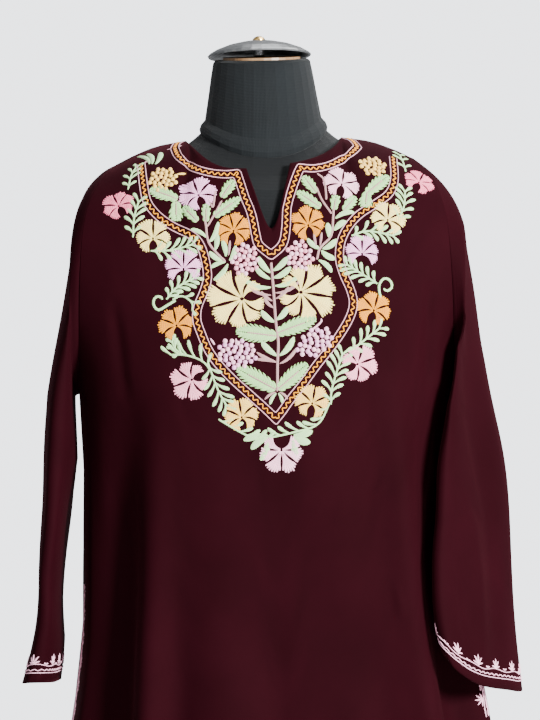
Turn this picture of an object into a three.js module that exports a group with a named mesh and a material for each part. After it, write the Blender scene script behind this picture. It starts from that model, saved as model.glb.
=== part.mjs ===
// A pheran, the loose pull-on tunic of Kashmir, worn by a limbless dress form on a stand.
// Millimetres, +Z up. The garment's front faces -Y and the origin is on the floor under the pole.
// A "drop" is a distance down from the point where the neckline crosses the shoulder seam.
import * as THREE from "three";

// Driving dimensions
const neckPointHeight = 1370;
const cloth = 2;
const seamGap = 0.36;
const clothInFold = 1.1;
const foldGrip = 1.6;
const seat = 0.3;
const neckGap = 0.4;
const garmentLength = 1000;
const shoulderHalf = 160;
const shoulderDrop = 24;
const neckHalf = 84;
const neckRise = 12;
const slitDrop = 103;
const slitHalf = 22;
const frontNeckDrop = 36;
const backNeckDrop = 18;
const neckLean = 3.6;
const armholeHeight = 246;
const armholeReach = { front: 84, back: 80 };
const shoulderRounding = 110;
const boxiness = 2.8;
const sleeveBoxiness = 2.6;
const formBoxiness = 2.1;
const ridgeBend = 1.6;
const armpitDrop = shoulderDrop + armholeHeight;
const armholeMiddle = shoulderDrop + armholeHeight / 2;

// How fine the walls are
const armholeRows = 11;
const skirtRows = 9;
const formSides = 32;
const roundSides = 32;

const colours = {
  cloth: 0x3a0d1a,
  formCover: 0x22282c,
  steel: 0xb4b6ba,
  brass: 0xc9a55c,
  wood: 0x8a6a4a,
  iron: 0x2b2b2d,
};

const heightOf = (drop) => neckPointHeight - drop;

// The shoulder seam, from the neckline out to the top of the armhole.
const shoulderSeam = [
  { x: 84, drop: 0 },
  { x: 113, drop: 4.5 },
  { x: 137, drop: 13 },
  { x: 160, drop: 24 },
];

// The neckline of each panel as a share of neckHalf and of that panel's neck drop.
const necklineShape = [
  { across: 0, down: 1 },
  { across: 0.26, down: 1 },
  { across: 0.48, down: 0.93 },
  { across: 0.7, down: 0.74 },
  { across: 0.88, down: 0.4 },
  { across: 1, down: 0 },
];

// Half of the opened slit's edge, from its foot up to its corner at the neckline.
const slitShape = [
  { across: 0, up: 0 },
  { across: 0.2, up: 0.1 },
  { across: 0.55, up: 0.5 },
  { across: 1, up: 1 },
];

// Level sections of the body: how far out the armhole or side seam is on the wearer's left and
// right, and how far the middle of the front and of the back stand from those.
const bodySections = [
  { drop: 0, left: 160, right: 160, front: 98, back: 90 },
  { drop: 24, left: 160, right: 160, front: 98, back: 90 },
  { drop: 45, left: 172, right: 176, front: 99, back: 91 },
  { drop: 71, left: 181, right: 189, front: 100, back: 92 },
  { drop: 103, left: 186, right: 196, front: 103, back: 93 },
  { drop: 168, left: 189, right: 201, front: 114, back: 97 },
  { drop: 222, left: 191, right: 203, front: 122, back: 101 },
  { drop: 270, left: 195, right: 206, front: 127, back: 104 },
  { drop: 310, left: 197, right: 204, front: 129, back: 105 },
  { drop: 385, left: 199, right: 204, front: 130, back: 107 },
  { drop: 450, left: 201, right: 207, front: 132, back: 111 },
  { drop: 550, left: 213, right: 212, front: 137, back: 122 },
  { drop: 620, left: 226, right: 225, front: 144, back: 133 },
  { drop: 720, left: 242, right: 241, front: 153, back: 146 },
  { drop: 860, left: 257, right: 256, front: 164, back: 158 },
  { drop: 1000, left: 268, right: 267, front: 174, back: 168 },
];

// Hanging folds of each panel. Angles run from the panel's middle, 0, to a side seam, 90 or -90,
// with + on the wearer's left. Stand is how far the fold comes out at the hem; a trough is negative.
const folds = {
  front: [
    { top: 300, angleTop: 30, angleHem: 36, stand: 12, width: 7 },
    { top: 285, angleTop: 52, angleHem: 56, stand: -27, width: 12 },
    { top: 330, angleTop: -31, angleHem: -38, stand: 11, width: 9 },
    { top: 290, angleTop: -50, angleHem: -55, stand: -19, width: 10 },
    { top: 420, angleTop: 9, angleHem: 13, stand: -9, width: 9 },
    { top: 520, angleTop: -12, angleHem: -14, stand: 7, width: 8 },
  ],
  back: [
    { top: 330, angleTop: 0, angleHem: 3, stand: 12, width: 10 },
    { top: 300, angleTop: 22, angleHem: 26, stand: -12, width: 9 },
    { top: 320, angleTop: -24, angleHem: -28, stand: -14, width: 10 },
    { top: 380, angleTop: 45, angleHem: 49, stand: 13, width: 10 },
    { top: 350, angleTop: -48, angleHem: -53, stand: 12, width: 9 },
  ],
};
const foldFullDrop = 640;
const foldAtTop = 0.25;

// The sleeve's rings, armhole to cuff. Out and in are the ends of a ring's short axis, seen from
// the front; bow is the share kept of the armhole's own bulge; reach is half the long axis and
// y where that is centred; turn is how far the front edge is swung towards the body, in
// degrees, and rise how much higher the front edge lies.
const sleeveRings = {
  left: [
    { outX: 172, outDrop: 34, inX: 198.5, inDrop: 270.5, bow: 0.8, reach: 82, y: -2, turn: 0, rise: 0 },
    { outX: 190, outDrop: 51.5, inX: 202, inDrop: 273, bow: 0.5, reach: 80, y: -3, turn: 0, rise: 0 },
    { outX: 204, outDrop: 77, inX: 205, inDrop: 278, bow: 0.28, reach: 78, y: -4, turn: 0, rise: 0 },
    { outX: 212, outDrop: 110, inX: 207, inDrop: 284, bow: 0.12, reach: 76, y: -5, turn: 0, rise: 0 },
    { outX: 218.5, outDrop: 145, inX: 208, inDrop: 291, bow: 0.04, reach: 76, y: -7.5, turn: 2.5, rise: 0 },
    { outX: 224.5, outDrop: 190, inX: 206, inDrop: 299, bow: 0, reach: 76.5, y: -13, turn: 5.5, rise: 0 },
    { outX: 229, outDrop: 238, inX: 203.5, inDrop: 314, bow: 0, reach: 77, y: -21, turn: 11, rise: 1 },
    { outX: 230.5, outDrop: 288, inX: 201, inDrop: 336, bow: 0, reach: 77, y: -33, turn: 18, rise: 2 },
    { outX: 229.5, outDrop: 338, inX: 199, inDrop: 362, bow: 0, reach: 77, y: -47, turn: 26, rise: 3 },
    { outX: 226, outDrop: 388, inX: 197, inDrop: 398, bow: 0, reach: 77, y: -58, turn: 31.5, rise: 5 },
    { outX: 221, outDrop: 436, inX: 192, inDrop: 440, bow: 0, reach: 76, y: -68, turn: 36, rise: 8 },
    { outX: 218, outDrop: 485, inX: 189, inDrop: 486, bow: 0, reach: 75, y: -76, turn: 39, rise: 14 },
    { outX: 220, outDrop: 530, inX: 189.5, inDrop: 528, bow: 0, reach: 74, y: -81, turn: 39.5, rise: 18 },
    { outX: 226.5, outDrop: 588, inX: 193.5, inDrop: 553, bow: 0, reach: 74, y: -83, turn: 38, rise: 21.5 },
  ],
  right: [
    { outX: 172, outDrop: 30.5, inX: 209.5, inDrop: 270.5, bow: 0.8, reach: 82, y: -2, turn: 0, rise: 0 },
    { outX: 188.5, outDrop: 45.5, inX: 212, inDrop: 273, bow: 0.5, reach: 80, y: -2, turn: 0, rise: 0 },
    { outX: 200, outDrop: 68, inX: 213, inDrop: 278, bow: 0.28, reach: 78, y: -3, turn: 0, rise: 0 },
    { outX: 207.5, outDrop: 103, inX: 213, inDrop: 284, bow: 0.12, reach: 76, y: -4, turn: 0, rise: 0 },
    { outX: 213.5, outDrop: 137, inX: 212.5, inDrop: 291, bow: 0.05, reach: 76, y: -5, turn: 0, rise: 0 },
    { outX: 222, outDrop: 182, inX: 211.5, inDrop: 300, bow: 0, reach: 76.5, y: -7, turn: 0, rise: 1 },
    { outX: 231, outDrop: 226, inX: 210.5, inDrop: 311, bow: 0, reach: 77.5, y: -9, turn: 0, rise: 1 },
    { outX: 240.5, outDrop: 276, inX: 210, inDrop: 328, bow: 0, reach: 79, y: -12, turn: 0, rise: 2 },
    { outX: 246, outDrop: 328, inX: 210.5, inDrop: 352, bow: 0, reach: 79, y: -16, turn: -1, rise: 3 },
    { outX: 248, outDrop: 378, inX: 215, inDrop: 388, bow: 0, reach: 78, y: -20, turn: -2, rise: 4 },
    { outX: 250.5, outDrop: 430, inX: 225, inDrop: 434, bow: 0, reach: 76, y: -24, turn: -3, rise: 5 },
    { outX: 252, outDrop: 478, inX: 230.5, inDrop: 480, bow: 0, reach: 74, y: -27, turn: -3, rise: 6 },
    { outX: 257, outDrop: 524, inX: 230.5, inDrop: 526, bow: 0, reach: 71, y: -30, turn: -4, rise: 7 },
    { outX: 270, outDrop: 572, inX: 236, inDrop: 572, bow: 0, reach: 69, y: -32, turn: -5, rise: 8 },
  ],
};

// Rings of the dress form's body, each a level outline bent to lie over the shoulders.
const bustRings = [
  { half: 68.5, sideDrop: -7.5, front: 67, frontDrop: 27, back: 53, backDrop: 1.8 },
  { half: 76, sideDrop: -1, front: 70, frontDrop: 36, back: 57, backDrop: 15 },
  { half: 86, sideDrop: 6, front: 75, frontDrop: 47, back: 61, backDrop: 31 },
  { half: 110, sideDrop: 7.5, front: 85, frontDrop: 62, back: 74, backDrop: 47 },
  { half: 135, sideDrop: 16.4, front: 92, frontDrop: 84, back: 82, backDrop: 70 },
  { half: 155, sideDrop: 25.4, front: 96, frontDrop: 108, back: 86, backDrop: 96 },
  { half: 167, sideDrop: 36, front: 100, frontDrop: 132, back: 88, backDrop: 122 },
  { half: 175, sideDrop: 52, front: 105, frontDrop: 158, back: 91, backDrop: 150 },
  { half: 178, sideDrop: 74, front: 111, frontDrop: 184, back: 93, backDrop: 178 },
  { half: 174, sideDrop: 112, front: 117, frontDrop: 210, back: 95, backDrop: 205 },
  { half: 164, sideDrop: 158, front: 121, frontDrop: 236, back: 96, backDrop: 232 },
  { half: 154, sideDrop: 205, front: 122, frontDrop: 260, back: 95, backDrop: 258 },
  { half: 144, sideDrop: 262, front: 117, frontDrop: 288, back: 93, backDrop: 286 },
  { half: 132, sideDrop: 335, front: 104, frontDrop: 335, back: 86, backDrop: 335 },
  { half: 121, sideDrop: 405, front: 93, frontDrop: 405, back: 80, backDrop: 405 },
  { half: 130, sideDrop: 460, front: 95, frontDrop: 460, back: 88, backDrop: 460 },
  { half: 152, sideDrop: 535, front: 102, frontDrop: 535, back: 104, backDrop: 535 },
  { half: 164, sideDrop: 610, front: 106, frontDrop: 610, back: 113, backDrop: 610 },
  { half: 160, sideDrop: 662, front: 102, frontDrop: 662, back: 109, backDrop: 662 },
  { half: 148, sideDrop: 672, front: 92, frontDrop: 672, back: 99, backDrop: 672 },
];
const bustMiddleDrop = 6;

// Rings of the separate neck block, foot to top. The foot follows the top of the body.
const neckRings = [
  { half: 68.5, sideDrop: -7.9, front: 67, frontDrop: 26.6, back: 53, backDrop: 1.4 },
  { half: 69.3, sideDrop: -12, front: 68, frontDrop: 21, back: 53.6, backDrop: -4 },
  { half: 67.5, sideDrop: -17, front: 66, frontDrop: 14, back: 52.4, backDrop: -11 },
  { half: 63, sideDrop: -22, front: 62.5, frontDrop: 6, back: 50.6, backDrop: -18 },
  { half: 58.5, sideDrop: -48, front: 58.5, frontDrop: -32, back: 47.6, backDrop: -50 },
  { half: 55, sideDrop: -70, front: 55.5, frontDrop: -60, back: 45, backDrop: -76 },
  { half: 52.5, sideDrop: -83, front: 52.5, frontDrop: -74.3, back: 42.4, backDrop: -90 },
];
const neckTop = { half: 50, height: 86, front: 50, back: 40, slope: 0.165 };

// The wooden disc on the neck, the dished steel cap over it and the nut that holds the cap.
const disc = { half: 42, front: 46, back: 30, thickness: 2.4 };
const capRimHeight = 88.5;
const spindle = { radius: 6, x: -2.5, y: -2 };
const capProfile = [
  { radius: 0, up: 15.5 },
  { radius: 20, up: 15.5 },
  { radius: 34, up: 12.3 },
  { radius: 47, up: 7.4 },
  { radius: 54, up: 3.4 },
  { radius: 56, up: 1.4 },
  { radius: 55.2, up: 0 },
  { radius: 52.5, up: 0.6 },
  { radius: 45, up: 4.6 },
  { radius: 33, up: 9.4 },
  { radius: 20, up: 12.6 },
  { radius: 0, up: 12.6 },
];
const nutProfile = [
  { radius: 0, up: 0 },
  { radius: 7, up: 0 },
  { radius: 7, up: 2.6 },
  { radius: 5.2, up: 5 },
  { radius: 2.6, up: 6.4 },
  { radius: 0, up: 6.8 },
];

// The stand: a cast base, a tube and the plate that the form is screwed to.
const poleRadius = 16;
const plate = { radius: 70, thickness: 6 };
const baseProfile = [
  { radius: 0, up: 0 },
  { radius: 205, up: 0 },
  { radius: 210, up: 4 },
  { radius: 207, up: 9 },
  { radius: 120, up: 17 },
  { radius: 40, up: 25 },
  { radius: 27, up: 34 },
  { radius: 25, up: 52 },
  { radius: 0, up: 52 },
];

// A smooth curve through a table's rows: the column "value" at a place in the column "key".
function along(table, key, value, at) {
  const last = table.length - 1;
  const slope = (i) => {
    if (i <= 0 || i >= last) return null;
    const before = (table[i][value] - table[i - 1][value]) / (table[i][key] - table[i - 1][key]);
    const after = (table[i + 1][value] - table[i][value]) / (table[i + 1][key] - table[i][key]);
    return before * after <= 0 ? 0 : (2 * before * after) / (before + after);
  };
  if (at <= table[0][key]) return table[0][value];
  if (at >= table[last][key]) return table[last][value];
  let i = 0;
  while (at > table[i + 1][key]) i += 1;
  const span = table[i + 1][key] - table[i][key];
  const chord = (table[i + 1][value] - table[i][value]) / span;
  const start = (slope(i) ?? chord) * span;
  const end = (slope(i + 1) ?? chord) * span;
  const t = (at - table[i][key]) / span;
  return (
    (2 * t ** 3 - 3 * t ** 2 + 1) * table[i][value] +
    (t ** 3 - 2 * t ** 2 + t) * start +
    (3 * t ** 2 - 2 * t ** 3) * table[i + 1][value] +
    (t ** 3 - t ** 2) * end
  );
}

const clamp = (value, low, high) => Math.min(high, Math.max(low, value));
const ease = (t) => clamp(t, 0, 1) ** 2 * (3 - 2 * clamp(t, 0, 1));
const degrees = (radians) => (radians * 180) / Math.PI;

// A sine or cosine drawn towards a box: 2 leaves it round and more squares it.
const boxed = (wave, boxy) => Math.sign(wave) * Math.abs(wave) ** (2 / boxy);

// A quarter round: 0 at the shoulder ridge, 1 where the cloth hangs straight.
const quarterRound = (share) => Math.sqrt(1 - (1 - clamp(share, 0, 1)) ** 2);

// How far the armhole's edge stands forward of the shoulder seam's line at a drop.
function armholeDepth(side, drop) {
  const share = clamp((drop - armholeMiddle) / (armholeHeight / 2), 0, 1);
  return armholeReach[side] * Math.sqrt(1 - share ** 2);
}

// The columns of a panel: where each starts on the top edge, and the height of its ridge there.
// The neckline hangs a little lower on the wearer's right.
function topStations(side) {
  const neckDrop = side === "front" ? frontNeckDrop : backNeckDrop;
  const lean = (x) => (-neckLean * 2.6 * x * (neckHalf ** 2 - x ** 2)) / neckHalf ** 3;
  const slit = side === "front" ? slitShape : [];
  const neckline = necklineShape.slice(side === "front" ? 2 : 1);
  const neckStation = (x, drop, share) => ({
    x,
    drop: drop + lean(x) * share,
    ridge: -neckRise * (1 - (x / neckHalf) ** 2),
  });
  const shoulderXs = [97, 110, 122, 133, 143, 151, 156, shoulderHalf];
  const halfFor = (hand) => [
    ...slit.slice(1).map((p) => {
      return neckStation(hand * p.across * slitHalf, slitDrop - p.up * (slitDrop - neckDrop), p.up);
    }),
    ...neckline.map((p) => neckStation(hand * p.across * neckHalf, p.down * neckDrop, 1)),
    ...shoulderXs.map((x) => {
      const drop = along(shoulderSeam, "x", "drop", x);
      return { x: hand * x, drop, ridge: drop };
    }),
  ];
  const middle = neckStation(0, side === "front" ? slitDrop : neckDrop, 0);
  return [...halfFor(-1).reverse(), middle, ...halfFor(1)];
}

// How far the folds move the cloth out at an angle round a panel and a drop.
function foldStand(side, angle, drop) {
  return folds[side].reduce((sum, fold) => {
    const down = (drop - fold.top) / (foldFullDrop - fold.top);
    if (down <= 0) return sum;
    const sweep = clamp((drop - fold.top) / (garmentLength - fold.top), 0, 1);
    const middle = fold.angleTop + sweep * (fold.angleHem - fold.angleTop);
    const grown = ease(down) * (1 - foldAtTop) + foldAtTop * ease(down * 3);
    const stand = fold.stand * grown * (0.7 + 0.3 * sweep);
    return sum + stand * Math.exp(-(((angle - middle) / fold.width) ** 2));
  }, 0);
}

// One point of a panel's outer face. Across runs from -1 to 1, seam to seam. Each level section is
// a boxy oval, and above the armpit it stops at the armhole's edge.
function panelPoint(side, across, drop, ridge) {
  const facing = side === "front" ? -1 : 1;
  const half = along(bodySections, "drop", across > 0 ? "left" : "right", drop);
  const depth = along(bodySections, "drop", side, drop);
  const edge = drop < armpitDrop ? armholeDepth(side, drop) / depth : 0;
  const reach = (1 - edge ** boxiness) ** (1 / boxiness);
  const share = Math.min(1, Math.abs(across)) * reach;
  const level = depth * (1 - share ** boxiness) ** (1 / boxiness);
  const rounding = quarterRound((drop - ridge) / shoulderRounding);
  const point = new THREE.Vector3(half * across, facing * level * rounding, 0);
  const angle = Math.sign(across) * degrees(Math.asin(share ** (boxiness / 2)));
  const seamEase = ease((1 - Math.abs(across)) * 40);
  const stand = foldStand(side, side === "front" ? angle : -angle, drop) * seamEase;
  if (point.length() > 1) point.addScaledVector(point.clone().normalize(), stand);
  point.y += (facing * seamGap) / 2;
  point.z = heightOf(drop);
  return point;
}

// A panel's outer face as rows of points, from its top edge down to the hem.
function panelGrid(side) {
  const stations = topStations(side);
  const rows = [];
  for (let row = 0; row <= armholeRows + skirtRows; row += 1) {
    rows.push(
      stations.map((station) => {
        const turned = (1 - Math.cos((Math.PI * Math.min(row, armholeRows)) / armholeRows)) / 2;
        const below = Math.max(0, row - armholeRows) / skirtRows;
        const drop =
          station.drop + (armpitDrop - station.drop) * turned + (garmentLength - armpitDrop) * below;
        return panelPoint(side, station.x / shoulderHalf, drop, station.ridge);
      }),
    );
  }
  return rows;
}

// Outward normals of a grid of points, from its neighbours along and across.
function gridNormals(grid, wrapped) {
  const wide = grid[0].length;
  return grid.map((row, r) =>
    row.map((point, c) => {
      const up = grid[Math.max(0, r - 1)][c];
      const down = grid[Math.min(grid.length - 1, r + 1)][c];
      const before = row[wrapped ? (c + wide - 1) % wide : Math.max(0, c - 1)];
      const after = row[wrapped ? (c + 1) % wide : Math.min(wide - 1, c + 1)];
      const downwards = down.clone().sub(up);
      const sideways = after.clone().sub(before);
      return downwards.cross(sideways).normalize();
    }),
  );
}

// The same normals evened out over their neighbours, so a wall stays whole round a tight fold.
function evened(normals) {
  const wide = normals[0].length;
  return normals.map((row, r) =>
    row.map((normal, c) => {
      const above = normals[Math.max(0, r - 1)][c];
      const below = normals[Math.min(normals.length - 1, r + 1)][c];
      const sum = normal.clone().multiplyScalar(2).add(above).add(below);
      return sum.add(row[(c + wide - 1) % wide]).add(row[(c + 1) % wide]).normalize();
    }),
  );
}

// The inner face of a wall, one cloth thickness inside the outer one.
function innerGrid(grid, normals) {
  return grid.map((row, r) => row.map((p, c) => p.clone().addScaledVector(normals[r][c], -cloth)));
}

// The inner face of a tube, whose wall is thinner along a tight fold, where its faces turn quickly.
function tubeInnerGrid(grid, normals) {
  const wide = grid[0].length;
  return grid.map((row, r) =>
    row.map((point, c) => {
      const before = normals[r][(c + wide - 1) % wide];
      const after = normals[r][(c + 1) % wide];
      const kept = clamp((before.dot(after) + 1) / 2, 0, 1);
      const thick = clothInFold + (cloth - clothInFold) * ease(1 - foldGrip * (1 - kept));
      return point.clone().addScaledVector(normals[r][c], -thick);
    }),
  );
}

// A closed mesh from a list of points and a list of three- or four-cornered faces. A face with
// four corners is split between its first and third.
function solidFrom(points, faces) {
  const triangles = faces.flatMap((f) =>
    f.length === 3 ? [f] : [[f[0], f[1], f[2]], [f[0], f[2], f[3]]],
  );
  const volume = triangles.reduce((sum, [a, b, c]) => {
    return sum + points[a].dot(points[b].clone().cross(points[c]));
  }, 0);
  const outward = volume < 0 ? triangles.map(([a, b, c]) => [a, c, b]) : triangles;
  const geometry = new THREE.BufferGeometry();
  geometry.setFromPoints(points);
  geometry.setIndex(outward.flat());
  return geometry;
}

// A wall between two grids. A wrapped one is a tube, and an open one has all four edges closed.
function wallSolid(outer, inner, wrapped) {
  const high = outer.length;
  const wide = outer[0].length;
  const points = [...outer.flat(), ...inner.flat()];
  const at = (layer, r, c) => layer * high * wide + r * wide + (c % wide);
  const faces = [];
  const columns = wrapped ? wide : wide - 1;
  for (let c = 0; c < columns; c += 1) {
    for (let r = 0; r + 1 < high; r += 1) {
      const falling = points[at(0, r, c)].distanceTo(points[at(0, r + 1, c + 1)]);
      const rising = points[at(0, r + 1, c)].distanceTo(points[at(0, r, c + 1)]);
      const corners = [[r, c], [r + 1, c], [r + 1, c + 1], [r, c + 1]];
      if (rising < falling) corners.push(corners.shift());
      const [first, second, third, fourth] = corners;
      faces.push([first, second, third, fourth].map(([row, column]) => at(0, row, column)));
      faces.push([first, fourth, third, second].map(([row, column]) => at(1, row, column)));
    }
    faces.push([at(0, 0, c), at(0, 0, c + 1), at(1, 0, c + 1), at(1, 0, c)]);
    const hem = high - 1;
    faces.push([at(0, hem, c), at(1, hem, c), at(1, hem, c + 1), at(0, hem, c + 1)]);
  }
  if (!wrapped) {
    const end = wide - 1;
    for (let r = 0; r + 1 < high; r += 1) {
      faces.push([at(0, r, 0), at(1, r, 0), at(1, r + 1, 0), at(0, r + 1, 0)]);
      faces.push([at(0, r, end), at(0, r + 1, end), at(1, r + 1, end), at(1, r, end)]);
    }
  }
  return solidFrom(points, faces);
}

// A solid lofted through rings, closed at both ends by a fan to a middle point.
function loftSolid(rings, firstMiddle, lastMiddle) {
  const sides = rings[0].length;
  const points = [...rings.flat(), firstMiddle, lastMiddle];
  const at = (r, c) => r * sides + (c % sides);
  const first = rings.length * sides;
  const faces = [];
  for (let c = 0; c < sides; c += 1) {
    for (let r = 0; r + 1 < rings.length; r += 1) {
      faces.push([at(r, c), at(r + 1, c), at(r + 1, c + 1), at(r, c + 1)]);
    }
    faces.push([first, at(0, c), at(0, c + 1)]);
    faces.push([first + 1, at(rings.length - 1, c + 1), at(rings.length - 1, c)]);
  }
  return solidFrom(points, faces);
}

// Front or back of the garment: its outer grid and the direction its wall is thick in. On the
// shoulder and side seams that has no part along Y, so both panels end in parallel faces.
function makePanel(side) {
  const outer = panelGrid(side);
  const last = outer[0].length - 1;
  const facing = side === "front" ? 1 : -1;
  const normals = gridNormals(outer, false);
  normals.forEach((row, r) => {
    row.forEach((normal, c) => {
      normal.multiplyScalar(facing);
      const onShoulderSeam = r === 0 && Math.abs(outer[0][c].x) >= neckHalf - 0.1;
      const onSideSeam = r >= armholeRows && (c === 0 || c === last);
      if (onShoulderSeam || onSideSeam) normal.setY(0).normalize();
    });
  });
  return { outer, normals, inner: innerGrid(outer, normals), last };
}

// One ring of a sleeve. Hand is 1 for the wearer's left sleeve, on the +X side, and -1 for the
// other. Bulge is how far the armhole itself stands out past a straight line, point by point.
function sleeveRing(row, hand, bulge, boxy) {
  const height = heightOf((row.outDrop + row.inDrop) / 2);
  const middle = new THREE.Vector3((row.outX + row.inX) / 2, row.y, height);
  const turn = (row.turn * Math.PI) / 180;
  const half = (row.outX - row.inX) / 2;
  const rise = (row.inDrop - row.outDrop) / 2;
  const short = new THREE.Vector3(half * Math.cos(turn), -half * Math.sin(turn), rise);
  const long = new THREE.Vector3(-Math.sin(turn), -Math.cos(turn), 0).multiplyScalar(row.reach);
  return bulge.map((bulgeX, i) => {
    const angle = (Math.PI * i) / armholeRows;
    const point = middle
      .clone()
      .addScaledVector(short, boxed(Math.cos(angle), boxy))
      .addScaledVector(long, boxed(Math.sin(angle), boxy));
    point.z += row.rise * Math.sin(angle);
    point.x = (point.x + row.bow * bulgeX) * hand;
    return point;
  });
}

// A sleeve, mitred into the armhole: the panels' walls and the sleeve's end in one shared face
// that halves the corner between them, and the sleeve stands one seam gap off it.
function makeSleeve(front, back, hand) {
  const edge = [];
  const use = (panel, row) => edge.push({ panel, row, column: hand > 0 ? panel.last : 0 });
  for (let row = 0; row <= armholeRows; row += 1) use(front, row);
  for (let row = armholeRows - 1; row > 0; row -= 1) use(back, row);
  const seam = edge.map((e) => e.panel.outer[e.row][e.column].clone());
  seam[0].y = 0;
  seam[armholeRows].y = 0;
  const bulge = seam.map((point, i) => {
    const share = (1 - Math.cos((Math.PI * i) / armholeRows)) / 2;
    const straight = seam[0].x + (seam[armholeRows].x - seam[0].x) * share;
    return (point.x - straight) * hand;
  });
  const table = hand > 0 ? sleeveRings.left : sleeveRings.right;
  const boxyAt = (r) => 2 + (sleeveBoxiness - 2) * ease((r - 3) / 5);
  const outer = [seam, ...table.map((row, r) => sleeveRing(row, hand, bulge, boxyAt(r)))];
  const normals = evened(evened(gridNormals(outer, true)));
  normals.flat().forEach((normal) => normal.multiplyScalar(-hand));
  const inner = tubeInnerGrid(outer, normals);
  seam.forEach((point, i) => {
    const before = seam[(i + seam.length - 1) % seam.length];
    const after = seam[(i + 1) % seam.length];
    const tangent = after.clone().sub(before).normalize();
    const onSeam = i === 0 || i === armholeRows;
    const away = outer[1][i].clone().sub(point);
    const sleeveNormal = tangent.clone().cross(away).multiplyScalar(hand).normalize();
    const { panel, row, column } = edge[i];
    const panelNormal = panel.normals[row][column].clone();
    const mitre = sleeveNormal.clone().add(panelNormal);
    if (onSeam) mitre.setY(0);
    mitre.normalize();
    const through = mitre.clone().multiplyScalar(-cloth / Math.max(0.5, mitre.dot(panelNormal)));
    const aside = away.addScaledVector(mitre, -away.dot(mitre));
    aside.addScaledVector(tangent, -aside.dot(tangent)).setLength(seamGap);
    const shared = onSeam ? [front, back] : [panel];
    shared.forEach((p) => {
      const c = hand > 0 ? p.last : 0;
      p.inner[row][c].copy(p.outer[row][c]).add(through);
    });
    inner[0][i].copy(point).add(through).add(aside);
    point.add(aside);
  });
  return wallSolid(outer, inner, true);
}

// A ring of the form: an outline whose height runs from the sides to the front and back.
function formRing(row) {
  const ring = [];
  for (let i = 0; i < formSides; i += 1) {
    const angle = (2 * Math.PI * i) / formSides;
    const sin = Math.sin(angle);
    const cos = Math.cos(angle);
    const depth = cos > 0 ? row.front : row.back;
    const middleDrop = cos > 0 ? row.frontDrop : row.backDrop;
    const drop = row.sideDrop + (middleDrop - row.sideDrop) * Math.abs(cos) ** ridgeBend;
    const x = row.half * boxed(sin, formBoxiness);
    ring.push(new THREE.Vector3(x, -depth * boxed(cos, formBoxiness), heightOf(drop)));
  }
  return ring;
}

// An oval ring lying in the sloping plane of the neck's top, raised by a height.
function slopingRing(oval, height) {
  const ring = [];
  for (let i = 0; i < formSides; i += 1) {
    const angle = (2 * Math.PI * i) / formSides;
    const y = -Math.cos(angle) * (Math.cos(angle) > 0 ? oval.front : oval.back);
    ring.push(new THREE.Vector3(oval.half * Math.sin(angle), y, neckTopHeight(y) + height));
  }
  return ring;
}

const neckTopHeight = (y) => neckPointHeight + neckTop.height + y * neckTop.slope;
const onAxis = (height) => new THREE.Vector3(0, 0, height);

// A turned piece standing at a height, from a profile of radius and height.
function turned(profile, height, x, y) {
  const outline = profile.map((p) => new THREE.Vector2(p.radius, p.up));
  if (outline[0].y > outline[outline.length - 1].y) outline.reverse();
  const geometry = new THREE.LatheGeometry(outline, roundSides);
  geometry.rotateX(Math.PI / 2);
  geometry.translate(x, y, height);
  return geometry;
}

function rod(radius, from, to, x, y) {
  const geometry = new THREE.CylinderGeometry(radius, radius, to - from, roundSides);
  geometry.rotateX(Math.PI / 2);
  geometry.translate(x, y, (from + to) / 2);
  return geometry;
}

const root = new THREE.Group();
function addPiece(name, geometry, colour, roughness, metalness) {
  const material = new THREE.MeshStandardMaterial({ color: colour, roughness, metalness });
  const mesh = new THREE.Mesh(geometry, material);
  mesh.name = name;
  root.add(mesh);
}

// The garment
const front = makePanel("front");
const back = makePanel("back");
const sleeveLeft = makeSleeve(front, back, 1);
const sleeveRight = makeSleeve(front, back, -1);
addPiece("front", wallSolid(front.outer, front.inner, false), colours.cloth, 0.8, 0);
addPiece("back", wallSolid(back.outer, back.inner, false), colours.cloth, 0.8, 0);
addPiece("sleeve_left", sleeveLeft, colours.cloth, 0.8, 0);
addPiece("sleeve_right", sleeveRight, colours.cloth, 0.8, 0);

// The dress form
const bust = bustRings.map(formRing);
const bustFoot = bustRings[bustRings.length - 1].sideDrop;
const neck = [...neckRings.map(formRing), slopingRing(neckTop, 0)];
const bustSolid = loftSolid(bust, onAxis(heightOf(bustMiddleDrop)), onAxis(heightOf(bustFoot)));
const neckSolid = loftSolid(neck, onAxis(heightOf(bustMiddleDrop - neckGap)), onAxis(neckTopHeight(0)));
const discRings = [slopingRing(disc, seat), slopingRing(disc, seat + disc.thickness)];
const discSolid = loftSolid(
  discRings,
  onAxis(neckTopHeight(0) + seat),
  onAxis(neckTopHeight(0) + seat + disc.thickness),
);
const capRim = neckPointHeight + capRimHeight;
const capTop = capRim + capProfile[0].up;
const capCeiling = capRim + capProfile[capProfile.length - 1].up;
const spindleFoot = neckTopHeight(spindle.y + spindle.radius) + disc.thickness + 2 * seat;
const spindleSolid = rod(spindle.radius, spindleFoot, capCeiling - seat, spindle.x, spindle.y);
addPiece("form_body", bustSolid, colours.formCover, 0.9, 0);
addPiece("form_neck", neckSolid, colours.formCover, 0.9, 0);
addPiece("neck_disc", discSolid, colours.wood, 0.6, 0);
addPiece("cap_spindle", spindleSolid, colours.steel, 0.3, 1);
addPiece("neck_cap", turned(capProfile, capRim, spindle.x, spindle.y), colours.steel, 0.3, 1);
addPiece("cap_nut", turned(nutProfile, capTop + seat, spindle.x, spindle.y), colours.brass, 0.3, 1);

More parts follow.
